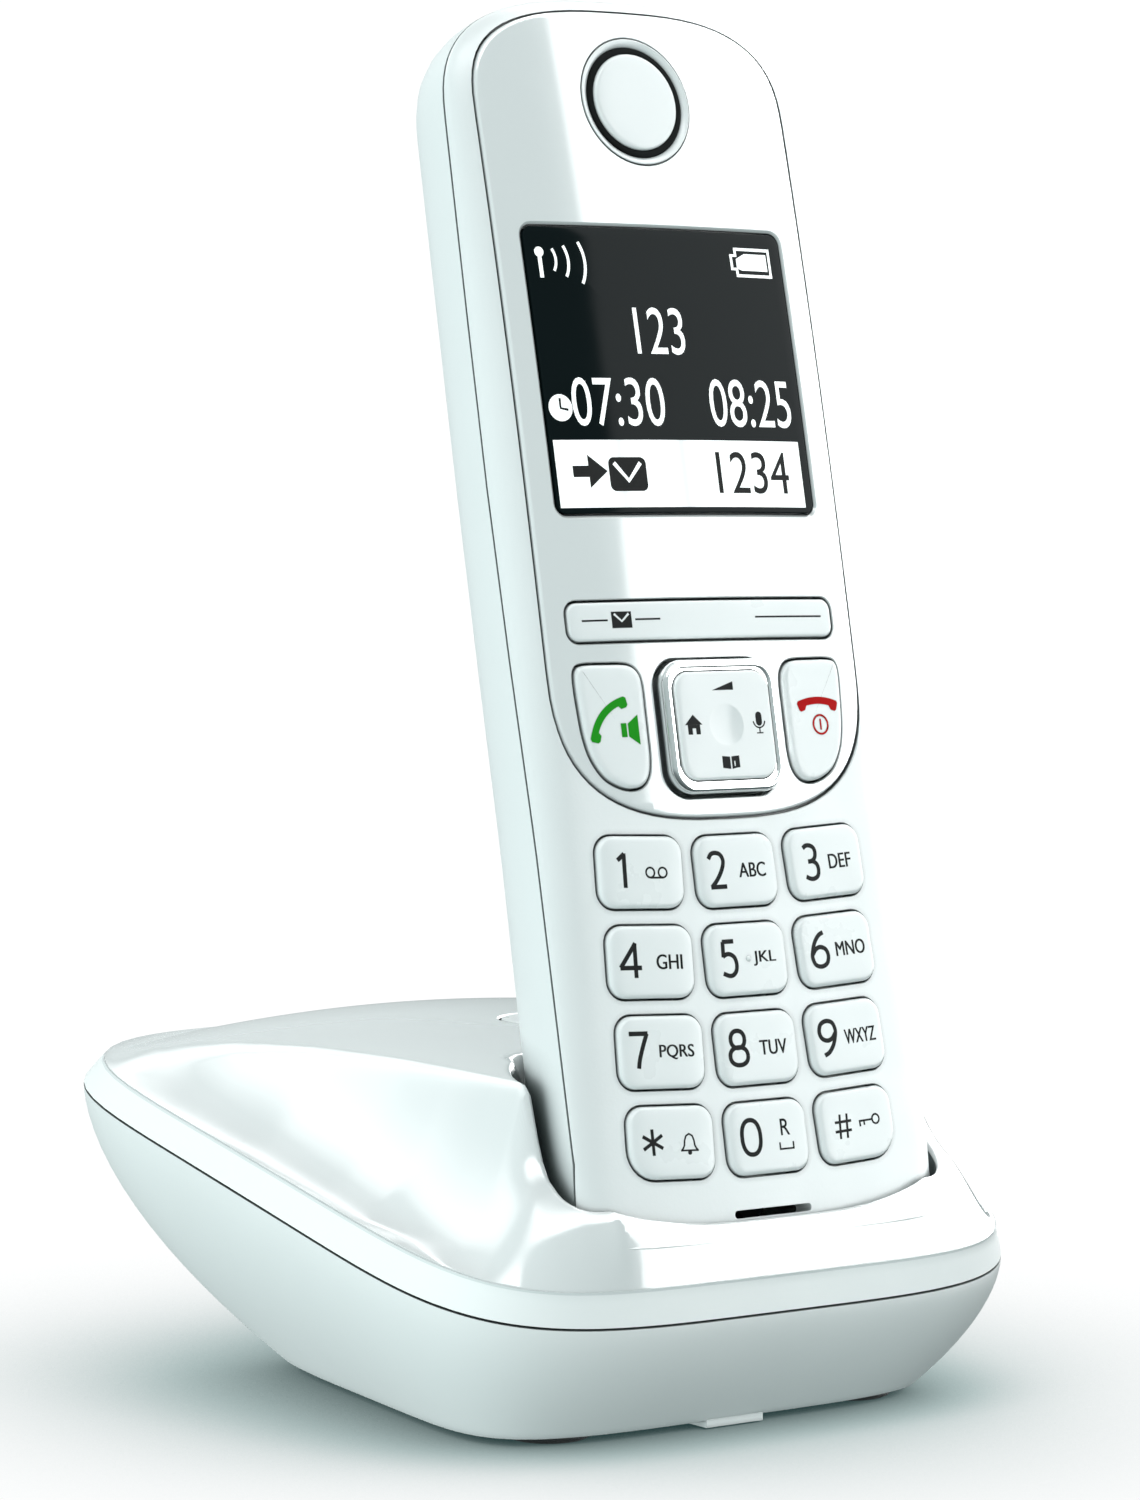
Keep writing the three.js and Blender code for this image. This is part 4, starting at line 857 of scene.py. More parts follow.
SIX = curve([(0.72, 1), (0.1, 0.84), (-0.5, 0.45), (-0.9, -0.08), (-0.99, -0.45), (-0.72, -0.86), (0.0, -1.0), (0.72, -0.84), (1, -0.42), (0.78, -0.02), (0.15, 0.15), (-0.45, 0.06), (-0.9, -0.22)])
FIGURES = {
    "1": [[(-1, 0.6), (0.8, 0.97)], [(0.7, 1.0), (0.7, -1)]],
    "2": [curve([(-0.98, 0.66), (-0.62, 0.93), (-0.1, 1.0), (0.5, 0.9), (0.82, 0.58), (0.72, 0.2), (0.3, -0.25), (-0.3, -0.68), (-0.9, -1)]), [(-1, -1), (1, -1)]],
    "3": [curve([(-0.92, 0.86), (-0.45, 0.99), (0.15, 0.98), (0.68, 0.82), (0.84, 0.52), (0.62, 0.2), (0.1, 0.05), (-0.4, 0.04)]), curve([(-0.4, 0.04), (0.3, 0.03), (0.85, -0.16), (1, -0.5), (0.78, -0.85), (0.2, -1), (-0.4, -0.98), (-1, -0.84)])],
    "4": [[(-1.02, -0.4), (0.5, 1)], [(0.42, 1), (0.42, -1)], [(-1.06, -0.42), (1, -0.42)]],
    "5": [[(-0.75, 1), (0.86, 1)], [(-0.68, 1.0), (-0.78, 0.1)], curve([(-0.84, 0.14), (-0.3, 0.26), (0.25, 0.24), (0.78, 0.05), (1, -0.34), (0.86, -0.72), (0.4, -0.96), (-0.2, -1.0), (-1, -0.85)])],
    "6": [SIX], "9": [[(-x, -y) for x, y in SIX]],
    "7": [[(-1, 1), (1.06, 1)], curve([(0.96, 1.0), (0.42, 0.2), (0.02, -0.5), (-0.14, -1)])],
    "8": oval(0, 0.5, 0.78, 0.5) + oval(0, -0.48, 1.0, 0.52), "0": oval(0, 0, 1, 1, 2.3),
}


def figure_polys(d, cx, cy, w, h, t):
    return [band([(cx + x * (w - t) / 2, cy + y * (h - t) / 2) for x, y in q], t) for q in FIGURES[d]]


def turn_pts(pts, k):
    c, s = math.cos(math.radians(k["turn"])), math.sin(math.radians(k["turn"]))
    return [(k["u"] + x * c - y * s, k["v"] + x * s + y * c) for x, y in pts]


# figure, its middle and width, letters, their middle and width
LABEL = {"key_1": ("1", -2.75, 1.5, "", 0, 0), "key_2": ("2", -2.95, 2.7, "ABC", 1.95, 3.75), "key_3": ("3", -2.4, 2.45, "DEF", 1.95, 3.35),
         "key_4": ("4", -2.9, 3.2, "GHI", 2.15, 3.4), "key_5": ("5", -2.75, 2.45, "JKL", 2.25, 3.15), "key_6": ("6", -2.65, 2.85, "MNO", 2.0, 4.4),
         "key_7": ("7", -3.2, 2.85, "PQRS", 1.75, 4.55), "key_8": ("8", -2.9, 2.95, "TUV", 2.0, 3.8), "key_9": ("9", -2.9, 2.9, "WXYZ", 1.9, 4.65), "key_0": ("0", -2.55, 3.05, "", 0, 0)}
for k in KEYS:
    nm = k["name"]
    about = (k["u"], k["v"])
    if nm in LABEL:
        d, dx, dw, l, lx, lw = LABEL[nm]
        slab_from_polys([turn_pts(q, k) for q in figure_polys(d, dx, 0.12, dw, 4.35, 0.5)], key_surf, nm + "_figure", "ink", nm)
        if l:
            for j, off in enumerate((-0.035, 0.035)):
                text_mesh(l, 1.66, k["u"] + lx + off, k["v"] - 0.05, key_surf, nm + "_letters_" + "ab"[j], "ink", nm, k["turn"], about, width=lw, thin=0.0, lift=0.018 + 0.003 * j)
    if nm == "key_1":
        polys = ring_polys(0.95, -0.1, 0.45, 0.66) + ring_polys(2.6, -0.1, 0.45, 0.66) + [[(0.95, -0.78), (2.6, -0.78), (2.6, -0.57), (0.95, -0.57)]]
        slab_from_polys([turn_pts(p, k) for p in polys], key_surf, nm + "_mark", "ink", nm)
    if nm == "key_star":
        R = 1.45
        for j, a in enumerate((92, 32, 152)):
            a = math.radians(a)
            q = band([(-2.75 - R * math.cos(a), 0.05 - R * math.sin(a)), (-2.75 + R * math.cos(a), 0.05 + R * math.sin(a))], 0.38)
            slab_from_polys([turn_pts(q, k)], key_surf, nm + "_star_" + "abc"[j], "ink", nm, lift=0.018 + 0.002 * j)
        bell = [(0.95, -0.95), (1.15, -0.72), (1.33, -0.4), (1.4, 0.15), (1.6, 0.65), (2.02, 0.88), (2.44, 0.65), (2.64, 0.15), (2.71, -0.4), (2.89, -0.72), (3.09, -0.95)]
        slab_from_polys([turn_pts(band(bell, 0.2), k)], key_surf, nm + "_bell", "ink", nm)
        slab_from_polys([turn_pts([(0.85, -1.05), (3.2, -1.05), (3.2, -0.86), (0.85, -0.86)], k)], key_surf, nm + "_bell_foot", "ink", nm, lift=0.020)
        slab_from_polys([turn_pts(circle(2.02, -1.18, 0.26, 16), k)], key_surf, nm + "_bell_clapper", "ink", nm, lift=0.022)
    if nm == "key_0":
        text_mesh("R", 1.85, k["u"] + 2.3, k["v"] + 0.95, key_surf, nm + "_r", "ink", nm, k["turn"], about, width=1.3, thin=0.004)
        polys = [[(1.25, -0.75), (1.45, -0.75), (1.45, -1.4), (1.25, -1.4)], [(3.15, -0.75), (3.35, -0.75), (3.35, -1.4), (3.15, -1.4)], [(1.25, -1.6), (3.35, -1.6), (3.35, -1.4), (1.25, -1.4)]]
        slab_from_polys([turn_pts(p, k) for p in polys], key_surf, nm + "_space", "ink", nm)
    if nm == "key_hash":
        w = 0.3
        polys = [band([(-2.85, -1.35), (-2.55, 1.4)], w), band([(-1.8, -1.35), (-1.5, 1.4)], w)]
        slab_from_polys([turn_pts(p, k) for p in polys], key_surf, nm + "_hash_a", "ink", nm)
        polys = [band([(-3.4, 0.55), (-0.95, 0.55)], w), band([(-3.5, -0.5), (-1.05, -0.5)], w)]
        slab_from_polys([turn_pts(p, k) for p in polys], key_surf, nm + "_hash_b", "ink", nm, lift=0.021)
        polys = ring_polys(2.75, 0.3, 0.42, 0.64) + [[(0.2, 0.2), (2.2, 0.2), (2.2, 0.42), (0.2, 0.42)], [(0.2, -0.3), (0.42, -0.3), (0.42, 0.2), (0.2, 0.2)], [(0.85, -0.2), (1.07, -0.2), (1.07, 0.2), (0.85, 0.2)]]
        slab_from_polys([turn_pts(p, k) for p in polys], key_surf, nm + "_lock", "ink", nm)
    if nm == "key_5":
        nub = Mesh()
        rr = [nub.ring([(k["u"] - 0.05 + r * math.cos(a), k["v"] + 0.0 + r * math.sin(a), key_surf(k["u"], k["v"]) + n) for a in np.linspace(0, 2 * math.pi, 21)[:-1]]) for r, n in ((0.34, -0.1), (0.32, 0.05), (0.24, 0.14), (0.12, 0.18))]
        for a, b in zip(rr, rr[1:]):
            nub.bridge(a, b)
        nub.fan(rr[0], True)
        nub.fan(rr[-1])
        finish_piece(make_object(nub, "key_5_nub", True), "pad", nm)


def soft_surf(u, v):
    return face(u, v) + 0.22


def flat_rect(u0, v0, u1, v1):
    n = max(1, int(abs(u1 - u0) / 2))
    return [(lerp(u0, u1, i / n), v0) for i in range(n + 1)] + [(lerp(u1, u0, i / n), v1) for i in range(n + 1)]


slab_from_polys([flat_rect(-16.9, 43.8, -13.5, 44.0), flat_rect(-9.8, 43.83, -6.4, 44.03), flat_rect(7.1, 43.85, 17.0, 44.05)], soft_surf, "softkey_lines", "ink", "softkey_bar")
slab_from_polys([flat_rect(-12.95, 43.0, -10.3, 44.85)], soft_surf, "softkey_envelope", "ink", "softkey_bar")
slab_from_polys([band([(-12.6, 44.6), (-11.63, 43.75), (-10.65, 44.6)], 0.26)], soft_surf, "softkey_envelope_fold", "pad", "softkey_bar", lift=0.03)


def talk_surf(u, v):
    return face(u, v) + 0.55


def arc_pts(cx, cy, r, a0, a1, n=14):
    return [(cx + r * math.cos(math.radians(lerp(a0, a1, i / n))), cy + r * math.sin(math.radians(lerp(a0, a1, i / n)))) for i in range(n + 1)]


def handset_icon(cx, cy, size, tilt, bow, stroke=0.82, head=1.15, depth=1.25):
    """a bowed receiver: an even arch with a block hanging at each end"""
    out, inn = [], []
    n = 30
    for i in range(n + 1):
        a = lerp(-1, 1, i / n)
        x, y = a * size, bow * (1 - a * a)
        tx, ty = 1.0, -2 * bow * a / size
        l = math.hypot(tx, ty)
        nx, ny = -ty / l, tx / l
        e = clamp((abs(a) * size - (size - head)) / 0.28, 0, 1)
        e = e * e * (3 - 2 * e)
        corner = clamp((abs(a) - 0.93) / 0.07, 0, 1) ** 2 * 0.22
        out.append((x + nx * (stroke / 2 - corner), y + ny * (stroke / 2 - corner)))
        w = lerp(stroke / 2, depth - stroke / 2, e) - corner
        inn.append((x - nx * w, y - ny * w))
    c, s = math.cos(math.radians(tilt)), math.sin(math.radians(tilt))
    return [(cx + x * c - y * s, cy + x * s + y * c) for x, y in out + inn[::-1]]


slab_from_polys([handset_icon(-14.95, 32.55, 3.35, 44, 1.05)], talk_surf, "talk_key_receiver", "green", "talk_key")
slab_from_polys([[(-13.55, 30.65), (-12.85, 30.65), (-12.85, 32.2), (-13.55, 32.2)], [(-12.62, 30.7), (-11.25, 29.75), (-11.25, 33.1), (-12.62, 32.15)]], talk_surf, "talk_key_speaker", "green", "talk_key")
slab_from_polys([handset_icon(14.6, 33.55, 3.0, 0, 0.55)], talk_surf, "end_key_receiver", "red", "end_key")
slab_from_polys(ring_polys(14.75, 31.3, 0.98, 1.2) + [[(14.65, 30.7), (14.85, 30.7), (14.85, 31.95), (14.65, 31.95)]], talk_surf, "end_key_power", "red", "end_key")


def pad_top(u, v):
    return 1.685


slab_from_polys([[(-1.5, 35.4), (1.5, 35.4), (1.5, 36.35)]], pad_top, "nav_mark_volume", "ink", "nav_key")
hu, hv = -4.6, 31.5
slab_from_polys([[(hu - 1.2, hv + 0.05), (hu + 1.2, hv + 0.05), (hu, hv + 1.2)], [(hu - 0.85, hv - 1.05), (hu - 0.25, hv - 1.05), (hu - 0.25, hv + 0.04), (hu - 0.85, hv + 0.04)],
                 [(hu + 0.25, hv - 1.05), (hu + 0.85, hv - 1.05), (hu + 0.85, hv + 0.04), (hu + 0.25, hv + 0.04)], [(hu - 0.25, hv - 0.35), (hu + 0.25, hv - 0.35), (hu + 0.25, hv + 0.04), (hu - 0.25, hv + 0.04)]],
                pad_top, "nav_mark_home", "ink", "nav_key")
mu, mv = 4.65, 31.75
slab_from_polys([round_rect(mu, mv + 0.25, 0.85, 1.6, 0.42, side=2), band(arc_pts(mu, mv + 0.05, 0.82, 185, 355), 0.16), [(mu - 0.08, mv - 1.3), (mu + 0.08, mv - 1.3), (mu + 0.08, mv - 0.82), (mu - 0.08, mv - 0.82)],
                 [(mu - 0.45, mv - 1.44), (mu + 0.45, mv - 1.44), (mu + 0.45, mv - 1.31), (mu - 0.45, mv - 1.31)]], pad_top, "nav_mark_mic", "ink", "nav_key")
bu, bv = 0.05, 27.2
slab_from_polys([[(bu - 1.2, bv + 0.7), (bu - 1.2, bv - 0.65), (bu - 0.1, bv - 0.8), (bu - 0.1, bv + 0.6)], [(bu + 1.2, bv + 0.7), (bu + 0.95, bv + 0.68), (bu + 0.95, bv - 0.66), (bu + 1.2, bv - 0.65)],
                 [(bu + 0.42, bv + 0.64), (bu + 0.1, bv + 0.6), (bu + 0.1, bv - 0.8), (bu + 0.42, bv - 0.74)], [(bu + 0.6, bv + 0.66), (bu + 0.42, bv + 0.64), (bu + 0.42, bv + 0.1), (bu + 0.6, bv + 0.1)],
                 [(bu + 0.6, bv - 0.5), (bu + 0.42, bv - 0.5), (bu + 0.42, bv - 0.74), (bu + 0.6, bv - 0.7)], [(bu + 0.95, bv + 0.68), (bu + 0.6, bv + 0.66), (bu + 0.6, bv - 0.7), (bu + 0.95, bv - 0.66)]],
                pad_top, "nav_mark_book", "ink", "nav_key")


# display picture: plain figures and signs
def disp_surf(u, v):
    return face(u, v) - 0.02


def disp_slab(polys, name, mat="lit", lift=0.012):
    return slab_from_polys(polys, disp_surf, name, mat, "handset", lift=lift, thick=0.02)


def grid_rect(u0, v0, u1, v1, nu=16):
    """a rectangle as narrow strips, so that it follows the curved window"""
    us = [lerp(u0, u1, i / nu) for i in range(nu + 1)]
    return [[(a, v0), (b, v0), (b, v1), (a, v1)] for a, b in zip(us, us[1:])]


disp_slab(grid_rect(-17.75, 56.75, 16.95, 64.5), "display_bar")
disp_slab([circle(-16.35, 86.2, 0.6, 20)], "display_signal_dot")
disp_slab([flat_rect(-16.6, 83.2, -16.1, 85.8)], "display_signal_stem")
disp_slab([band(arc_pts(-16.6, 85.3, 2.35, -33, 33), 0.34), band(arc_pts(-16.2, 85.15, 3.6, -30, 30), 0.36), band(arc_pts(-15.4, 85.0, 5.0, -29, 29), 0.38)], "display_signal_waves")
disp_slab([flat_rect(11.1, 87.1, 16.5, 87.45), flat_rect(11.1, 83.95, 16.5, 84.3), flat_rect(16.15, 84.3, 16.5, 87.1), flat_rect(11.1, 84.3, 11.45, 84.75), flat_rect(11.1, 86.65, 11.45, 87.1), flat_rect(10.4, 84.75, 10.75, 86.65),
           flat_rect(10.75, 84.75, 11.45, 85.05), flat_rect(10.75, 86.35, 11.45, 86.65)], "display_battery")
disp_slab([[(11.3, 85.0), (12.0, 84.75), (15.9, 84.75), (15.9, 86.75), (12.6, 86.75), (11.3, 86.1)]], "display_charge")
text_mesh("123", 5.5, -1.35, 77.2, disp_surf, "display_number", "lit", "handset", width=6.9, thin=0.0, lift=0.012)
text_mesh("07:30", 5.6, -8.3, 68.9, disp_surf, "display_time_left", "lit", "handset", width=12.6, thin=0.0, lift=0.012)
text_mesh("08:25", 5.6, 10.5, 68.9, disp_surf, "display_time_right", "lit", "handset", width=12.0, thin=0.0, lift=0.012)
disp_slab([circle(-16.2, 68.2, 1.55, 36)], "display_clock")
slab_from_polys([band([(-16.2, 69.3), (-16.2, 68.15), (-15.2, 67.95)], 0.3)], disp_surf, "display_clock_hands", "ink", "handset", lift=0.022, thick=0.02)
slab_from_polys([[(x + 0.5, y) for x, y in [(-16.1, 60.25), (-14.0, 60.25), (-14.0, 59.0), (-11.5, 60.9), (-14.0, 62.8), (-14.0, 61.55), (-16.1, 61.55)]]], disp_surf, "display_arrow", "ink", "handset", lift=0.024, thick=0.02)
slab_from_polys([round_rect(-8.25, 60.55, 5.1, 3.9, 0.75, side=2)], disp_surf, "display_envelope", "ink", "handset", lift=0.024, thick=0.02)
slab_from_polys([band([(-10.05, 61.85), (-8.25, 59.8), (-6.45, 61.85)], 0.5)], disp_surf, "display_envelope_fold", "lit", "handset", lift=0.034, thick=0.02)
text_mesh("1234", 4.9, 9.6, 60.75, disp_surf, "display_count", "ink", "handset", width=10.6, thin=0.0, lift=0.024)

# ------------------------------------------------------------------ base
NB = 224


def rim_ring(a, b, t, p, q, yc, n=NB):
    out = []
    for i in range(n):
        ph = 2 * math.pi * (i + 0.5) / n
        c, s = math.cos(ph), math.sin(ph)
        y = spow(s, 2 / q)
        out.append((a * (1 + t * y) * spow(c, 2 / p), yc + b * y))
    return out


def even(loop, n=NB, start=None):
    """the loop resampled by length, starting at its first point"""
    P = np.array(loop + [loop[0]], float)
    s = np.r_[0, np.cumsum(np.hypot(*(P[1:] - P[:-1]).T))]
    t = np.linspace(0, s[-1], n + 1)[:-1]
    return list(zip(np.interp(t, s, P[:, 0]), np.interp(t, s, P[:, 1])))


def part_z(y):
    return RIM_Z + RIM_K * y + RIM_C * (y / 40) ** 2


def inner_z(y):
    return IN_Z + IN_K * y + RIM_C * (y / 40) ** 2


PLATFORM = np.array([(0, -18.9), (-20, -18.9), (-25.5, -32.4), (-26.6, -32.4), (-27, -27.9), (-27.9, -11.6), (-29.6, 3.6), (-32.9, 17.5), (-36.7, 28.2), (-42.3, 33), (-42.3, 60), (0, 60)], float)
RIMLINE = np.array(rim_ring(IN_A, IN_B, RIM_T, IN_P, RIM_Q, IN_Y, 400), float)


def poly_distance(poly, x, y):
    a = poly
    b = np.roll(poly, -1, axis=0)
    d = b - a
    t = np.clip(((x - a[:, 0]) * d[:, 0] + (y - a[:, 1]) * d[:, 1]) / np.maximum((d ** 2).sum(1), 1e-12), 0, 1)
    dist = np.hypot(x - a[:, 0] - t * d[:, 0], y - a[:, 1] - t * d[:, 1]).min()
    with np.errstate(divide="ignore", invalid="ignore"):
        cross = ((a[:, 1] > y) != (b[:, 1] > y)) & (x < d[:, 0] * (y - a[:, 1]) / d[:, 1] + a[:, 0])
    return -dist if cross.sum() % 2 else dist


def top_z(x, y):
    di = max(0.0, -poly_distance(RIMLINE, x, y))
    zi = inner_z(y)
    ax = abs(x)
    q = clamp((41 - ax) / 12, 0, 1)
    low = (7.0 + 4.5e-6 * min(ax, 26) ** 4) * (1 - math.exp(-di / (0.7 + 0.25 * max(ax - 22, 0)))) * clamp((-20 - y) / 18, 0, 1) * q * q * (3 - 2 * q)
    d = math.hypot(max(0.0, poly_distance(PLATFORM, -ax, y)), 1.0) - 1.0
    plat = 43 - 0.0022 * x * x - 0.003 * max(y - 15, 0) ** 2 - 0.0005 * max(15 - y, 0) ** 2
    k = clamp((-20 - y) / 14, 0, 1)
    s = clamp(1 - d / lerp(13.5, 8.5, k), 0, 1) ** lerp(2.1, 3.5, k)
    return zi + low + max(plat - zi - low, 0) * s * (1 - math.exp(-di / 2))


def pocket_ring(g, v, n=NB):
    """section of the cradle pocket across the handset's axis, as (u, n) points by angle"""
    front = 0.8 - 0.03 * max(-22 - v, 0) ** 2 + g
    back_n = -25.1 - g
    a = 26.5 + g
    tuck = 0.9 if v < -27 else 0.0
    out = []
    for i in range(n):
        ph = 2 * math.pi * i / n
        co, si = math.cos(ph), math.sin(ph)
        if si > 0:
            out.append(((a - tuck) * spow(co, 2 / 3.4), POCKET_N + (front - POCKET_N) * spow(si, 2 / 3.4)))
        else:
            out.append(((a - tuck) * spow(co, 2 / 1.95), POCKET_N - (back_n + tuck * 0.4 - POCKET_N) * spow(si, 2 / 1.95)))
    return out


def by_angle(loop, cx, cy, angles):
    """points of a star-shaped loop at the given angles round (cx, cy)"""
    P = np.array(loop, float)
    ang = np.arctan2(P[:, 1] - cy, P[:, 0] - cx)
    order = np.argsort(ang)
    ang, P = ang[order], P[order]
    ang = np.r_[ang[-1] - 2 * math.pi, ang, ang[0] + 2 * math.pi]
    P = np.vstack([P[-1], P, P[0]])
    a = (np.array(angles) + math.pi) % (2 * math.pi) - math.pi
    return list(zip(np.interp(a, ang, P[:, 0]), np.interp(a, ang, P[:, 1])))


# pocket mouth where the slanted wall meets the saddle
pk = even([(u, n) for u, n in pocket_ring(0.0, 0, 600)], NB)
mouth, mouth_v = [], []
for u, n in pk:
    v = -20.0
    for _ in range(40):
        x, y, z = H(u, v, n)
        v += (top_z(x, y) - z) * 0.6
        v = clamp(v, -26, 12)
    mouth_v.append(v)
    mouth.append(H(u, v, n))
MCX, MCY = 0.0, float(np.mean([p[1] for p in mouth]))
mouth_angles = [math.atan2(p[1] - MCY, p[0] - MCX) for p in mouth]
rim_in = by_angle(rim_ring(IN_A, IN_B, RIM_T, IN_P, RIM_Q, IN_Y, 1600), MCX, MCY, mouth_angles)
rim_out = by_angle(rim_ring(RIM_A, RIM_B, RIM_T, RIM_P, RIM_Q, 0, 1600), MCX, MCY, mouth_angles)
LIP_R = 0.8
rings, rmat = [], []
floor_v = -32.2
for v in (floor_v, -31.6, -30.5, -29, -27.5, -26.2):
    ring = even(pocket_ring(0.0, v, 600), NB)
    rings.append([H(u, v, n) for u, n in ring])
    rmat.append(3)
for t in (0.2, 0.45, 0.7, 1.0):
    rings.append([H(u, lerp(-26.2, mv - LIP_R, t) if mv - LIP_R > -26.2 else lerp(-26.2, -26.0, t), n) for (u, n), mv in zip(pk, mouth_v)])
    rmat.append(3 if t < 1 else 0)
# rounded lip
for k in range(1, 6):
    a = math.radians(18 * k)
    ring = []
    for i, (mx, my, mz) in enumerate(mouth):
        rx, ry = rim_in[i]
        dx, dy = rx - mx, ry - my
        l = math.hypot(dx, dy)
        o = LIP_R * (1 - math.cos(a)) * min(1.0, l / 2.2)
        x, y = mx + dx / l * o, my + dy / l * o
        drop = LIP_R * (1 - math.sin(a))
        ring.append((x, y, top_z(x, y) - drop))
    rings.append(ring)
    rmat.append(0)
for t in list(1 - (1 - np.linspace(0, 0.985, 60)[1:]) ** 1.25) + [0.9975, 1.0]:
    ring = []
    for i, (mx, my, mz) in enumerate(mouth):
        rx, ry = rim_in[i]
        l = math.hypot(rx - mx, ry - my)
        o = LIP_R * min(1.0, l / 2.2)
        sx, sy = mx + (rx - mx) / l * o, my + (ry - my) / l * o
        x, y = lerp(sx, rx, t), lerp(sy, ry, t)
        ring.append((x, y, top_z(x, y) if t < 1 else inner_z(y)))
    rings.append(ring)
    rmat.append(0)
# fine groove between the gloss and the matte band, in the darker groove plastic that paints its shade
for out_mm, dz, mt in ((0.05, -0.16, 2), (0.2, -0.16, 2)):
    ring = []
    for (ax, ay), (bx, by) in zip(rim_in, rim_out):
        l = math.hypot(bx - ax, by - ay)
        x, y = ax + (bx - ax) / l * out_mm, ay + (by - ay) / l * out_mm
        ring.append((x, y, inner_z(y) + dz))
    rings.append(ring)
    rmat.append(mt)
# matte band down to the parting line
for t in (0.12, 0.35, 0.6, 0.85, 0.96, 1.0):
    ring = []
    for (ax, ay), (bx, by) in zip(rim_in, rim_out):
        x, y = lerp(ax, bx, t ** 0.9), lerp(ay, by, t ** 0.9)
        ring.append((x, y, lerp(inner_z(ay), part_z(by) + GAP / 2, t)))
    rings.append(ring)
    rmat.append(1)
# inner skin: the same surface set back by the wall
Pv = np.array(rings, float)
Di = np.roll(Pv, -1, 1) - np.roll(Pv, 1, 1)
Dk = np.empty_like(Pv)
Dk[1:-1] = Pv[2:] - Pv[:-2]
Dk[0], Dk[-1] = Pv[1] - Pv[0], Pv[-1] - Pv[-2]
Nv = np.cross(Dk, Di)
Nv /= np.maximum(np.linalg.norm(Nv, axis=2, keepdims=True), 1e-9)
mid_band = len(rings) - 4
if ((Nv[mid_band, :, :2] * (Pv[mid_band, :, :2] - np.array([MCX, MCY]))).sum(1)).mean() < 0:
    Nv = -Nv
M2, R2 = np.array(mouth)[:, :2], np.array(rim_in, float)
reach = np.hypot(*(R2 - M2).T)
WALLS, LIPS = 10, 15
for k in range(len(Pv) - 1, -1, -1):
    ring = Pv[k]
    if k == len(Pv) - 1:
        inward = -Nv[mid_band] * 1.0
        inward[:, 2] = 0
        new, mt = ring + inward, 1
    elif rmat[k] == 1:
        new, mt = ring - Nv[k] * np.minimum(1.0, 0.35 + 0.2 * (len(Pv) - 1 - k)), 1
        if k % 2 == 0:
            continue
    elif rmat[k] == 2:
        continue
    elif k >= LIPS:
        near = np.minimum(np.hypot(*(ring[:, :2] - M2).T), np.hypot(*(ring[:, :2] - R2).T))
        if k > len(Pv) - 24 or k % 6:
            continue
        new, mt = ring - Nv[k] * np.minimum(1.8, 0.35 + 0.4 * near)[:, None], 0
    elif k >= WALLS:
        new, mt = ring - Nv[k] * np.minimum(0.3, 0.16 * reach)[:, None], 0
    else:
        new, mt = ring - Nv[k] * np.minimum(1.2, (0.03, 0.08, 0.16, 0.28)[min(3, WALLS - 1 - k)] * reach)[:, None], 0
        if k == 0:
            new = new - np.array([0, SN, CS]) * 1.2
    rings.append([tuple(q) for q in new])
    rmat.append(mt)
cover = loft(rings, False, "base_top_cover_fine", rmat)
hole = loft([[(r * math.cos(a), PAGE_Y + r * math.sin(a), z) for a in np.linspace(0, 2 * math.pi, 65)[:-1]] for r, z in ((PAGE_R + 0.3, 36), (PAGE_R + 0.3, 42.7), (PAGE_R + 0.6, 43.1), (PAGE_R + 0.6, 50))])
boolean(cover, hole)
for a, b in ((-11, -7), (7, 11)):
    boolean(cover, box_solid(a - 0.5, b + 0.5, -38, -30, -12.6, -8.4))
# the groove and the pocket take darker copies of the white plastic, which paint their shade
finish_piece(cover, ["gloss", "band", "groove", "pocket"], "base", ["base_top_cover"], smooth=34)

page = loft([[(r * math.cos(a), PAGE_Y + r * math.sin(a), z) for a in np.linspace(0, 2 * math.pi, 65)[:-1]] for r, z in
             ((1.8, 34.9), (1.8, 39.6), (PAGE_R, 39.65), (PAGE_R, 42.55), (PAGE_R - 0.12, 42.8), (PAGE_R - 0.35, 42.93), (PAGE_R - 0.8, 42.96), (4.0, 42.92), (2.0, 42.86))], False, "page_key_cap")
finish_piece(page, "key", "page_key", ["page_key"])

# hull
hull_r = []
A = rim_ring(RIM_A, RIM_B, RIM_T, RIM_P, RIM_Q, 0)
B = rim_ring(BOT_A, BOT_B, BOT_T, BOT_P, BOT_Q, BOT_Y)
for f in (0.25, 0.5, 0.75, 0.93, 0.985):
    hull_r.append([(x * f, BOT_Y + (y - BOT_Y) * f, BOT_Z) for x, y in B])
for s in [1 - 0.02, 0.93, 0.88, 0.82, 0.76, 0.7, 0.63, 0.56, 0.49, 0.42, 0.35, 0.28, 0.21, 0.15, 0.1, 0.06, 0.03, 0.012, 0.0]:
    f = s ** HULL_POW
    dz = -GAP / 2
    hull_r.append([(lerp(a[0], b[0], f), lerp(a[1], b[1], f), lerp(part_z(a[1]) + dz, BOT_Z, s)) for a, b in zip(A, B)])
A2 = rim_ring(RIM_A - 2, RIM_B - 2, RIM_T, RIM_P, RIM_Q, 0)
B2 = rim_ring(BOT_A - 2, BOT_B - 2, BOT_T, BOT_P, BOT_Q, BOT_Y)
for s in (0.0, 0.3, 0.6, 0.82, 1.0):
    f = s ** HULL_POW
    hull_r.append([(lerp(a[0], b[0], f), lerp(a[1], b[1], f), lerp(part_z(a[1]) - GAP / 2, BOT_Z + 2.2, s)) for a, b in zip(A2, B2)])
hull = loft(hull_r, False, "base_bottom_shell_fine")


def disc_tool(x, y, steps, n=48):
    return loft([[(x + r * math.cos(a), y + r * math.sin(a), z) for a in np.linspace(0, 2 * math.pi, n + 1)[:-1]] for r, z in steps])


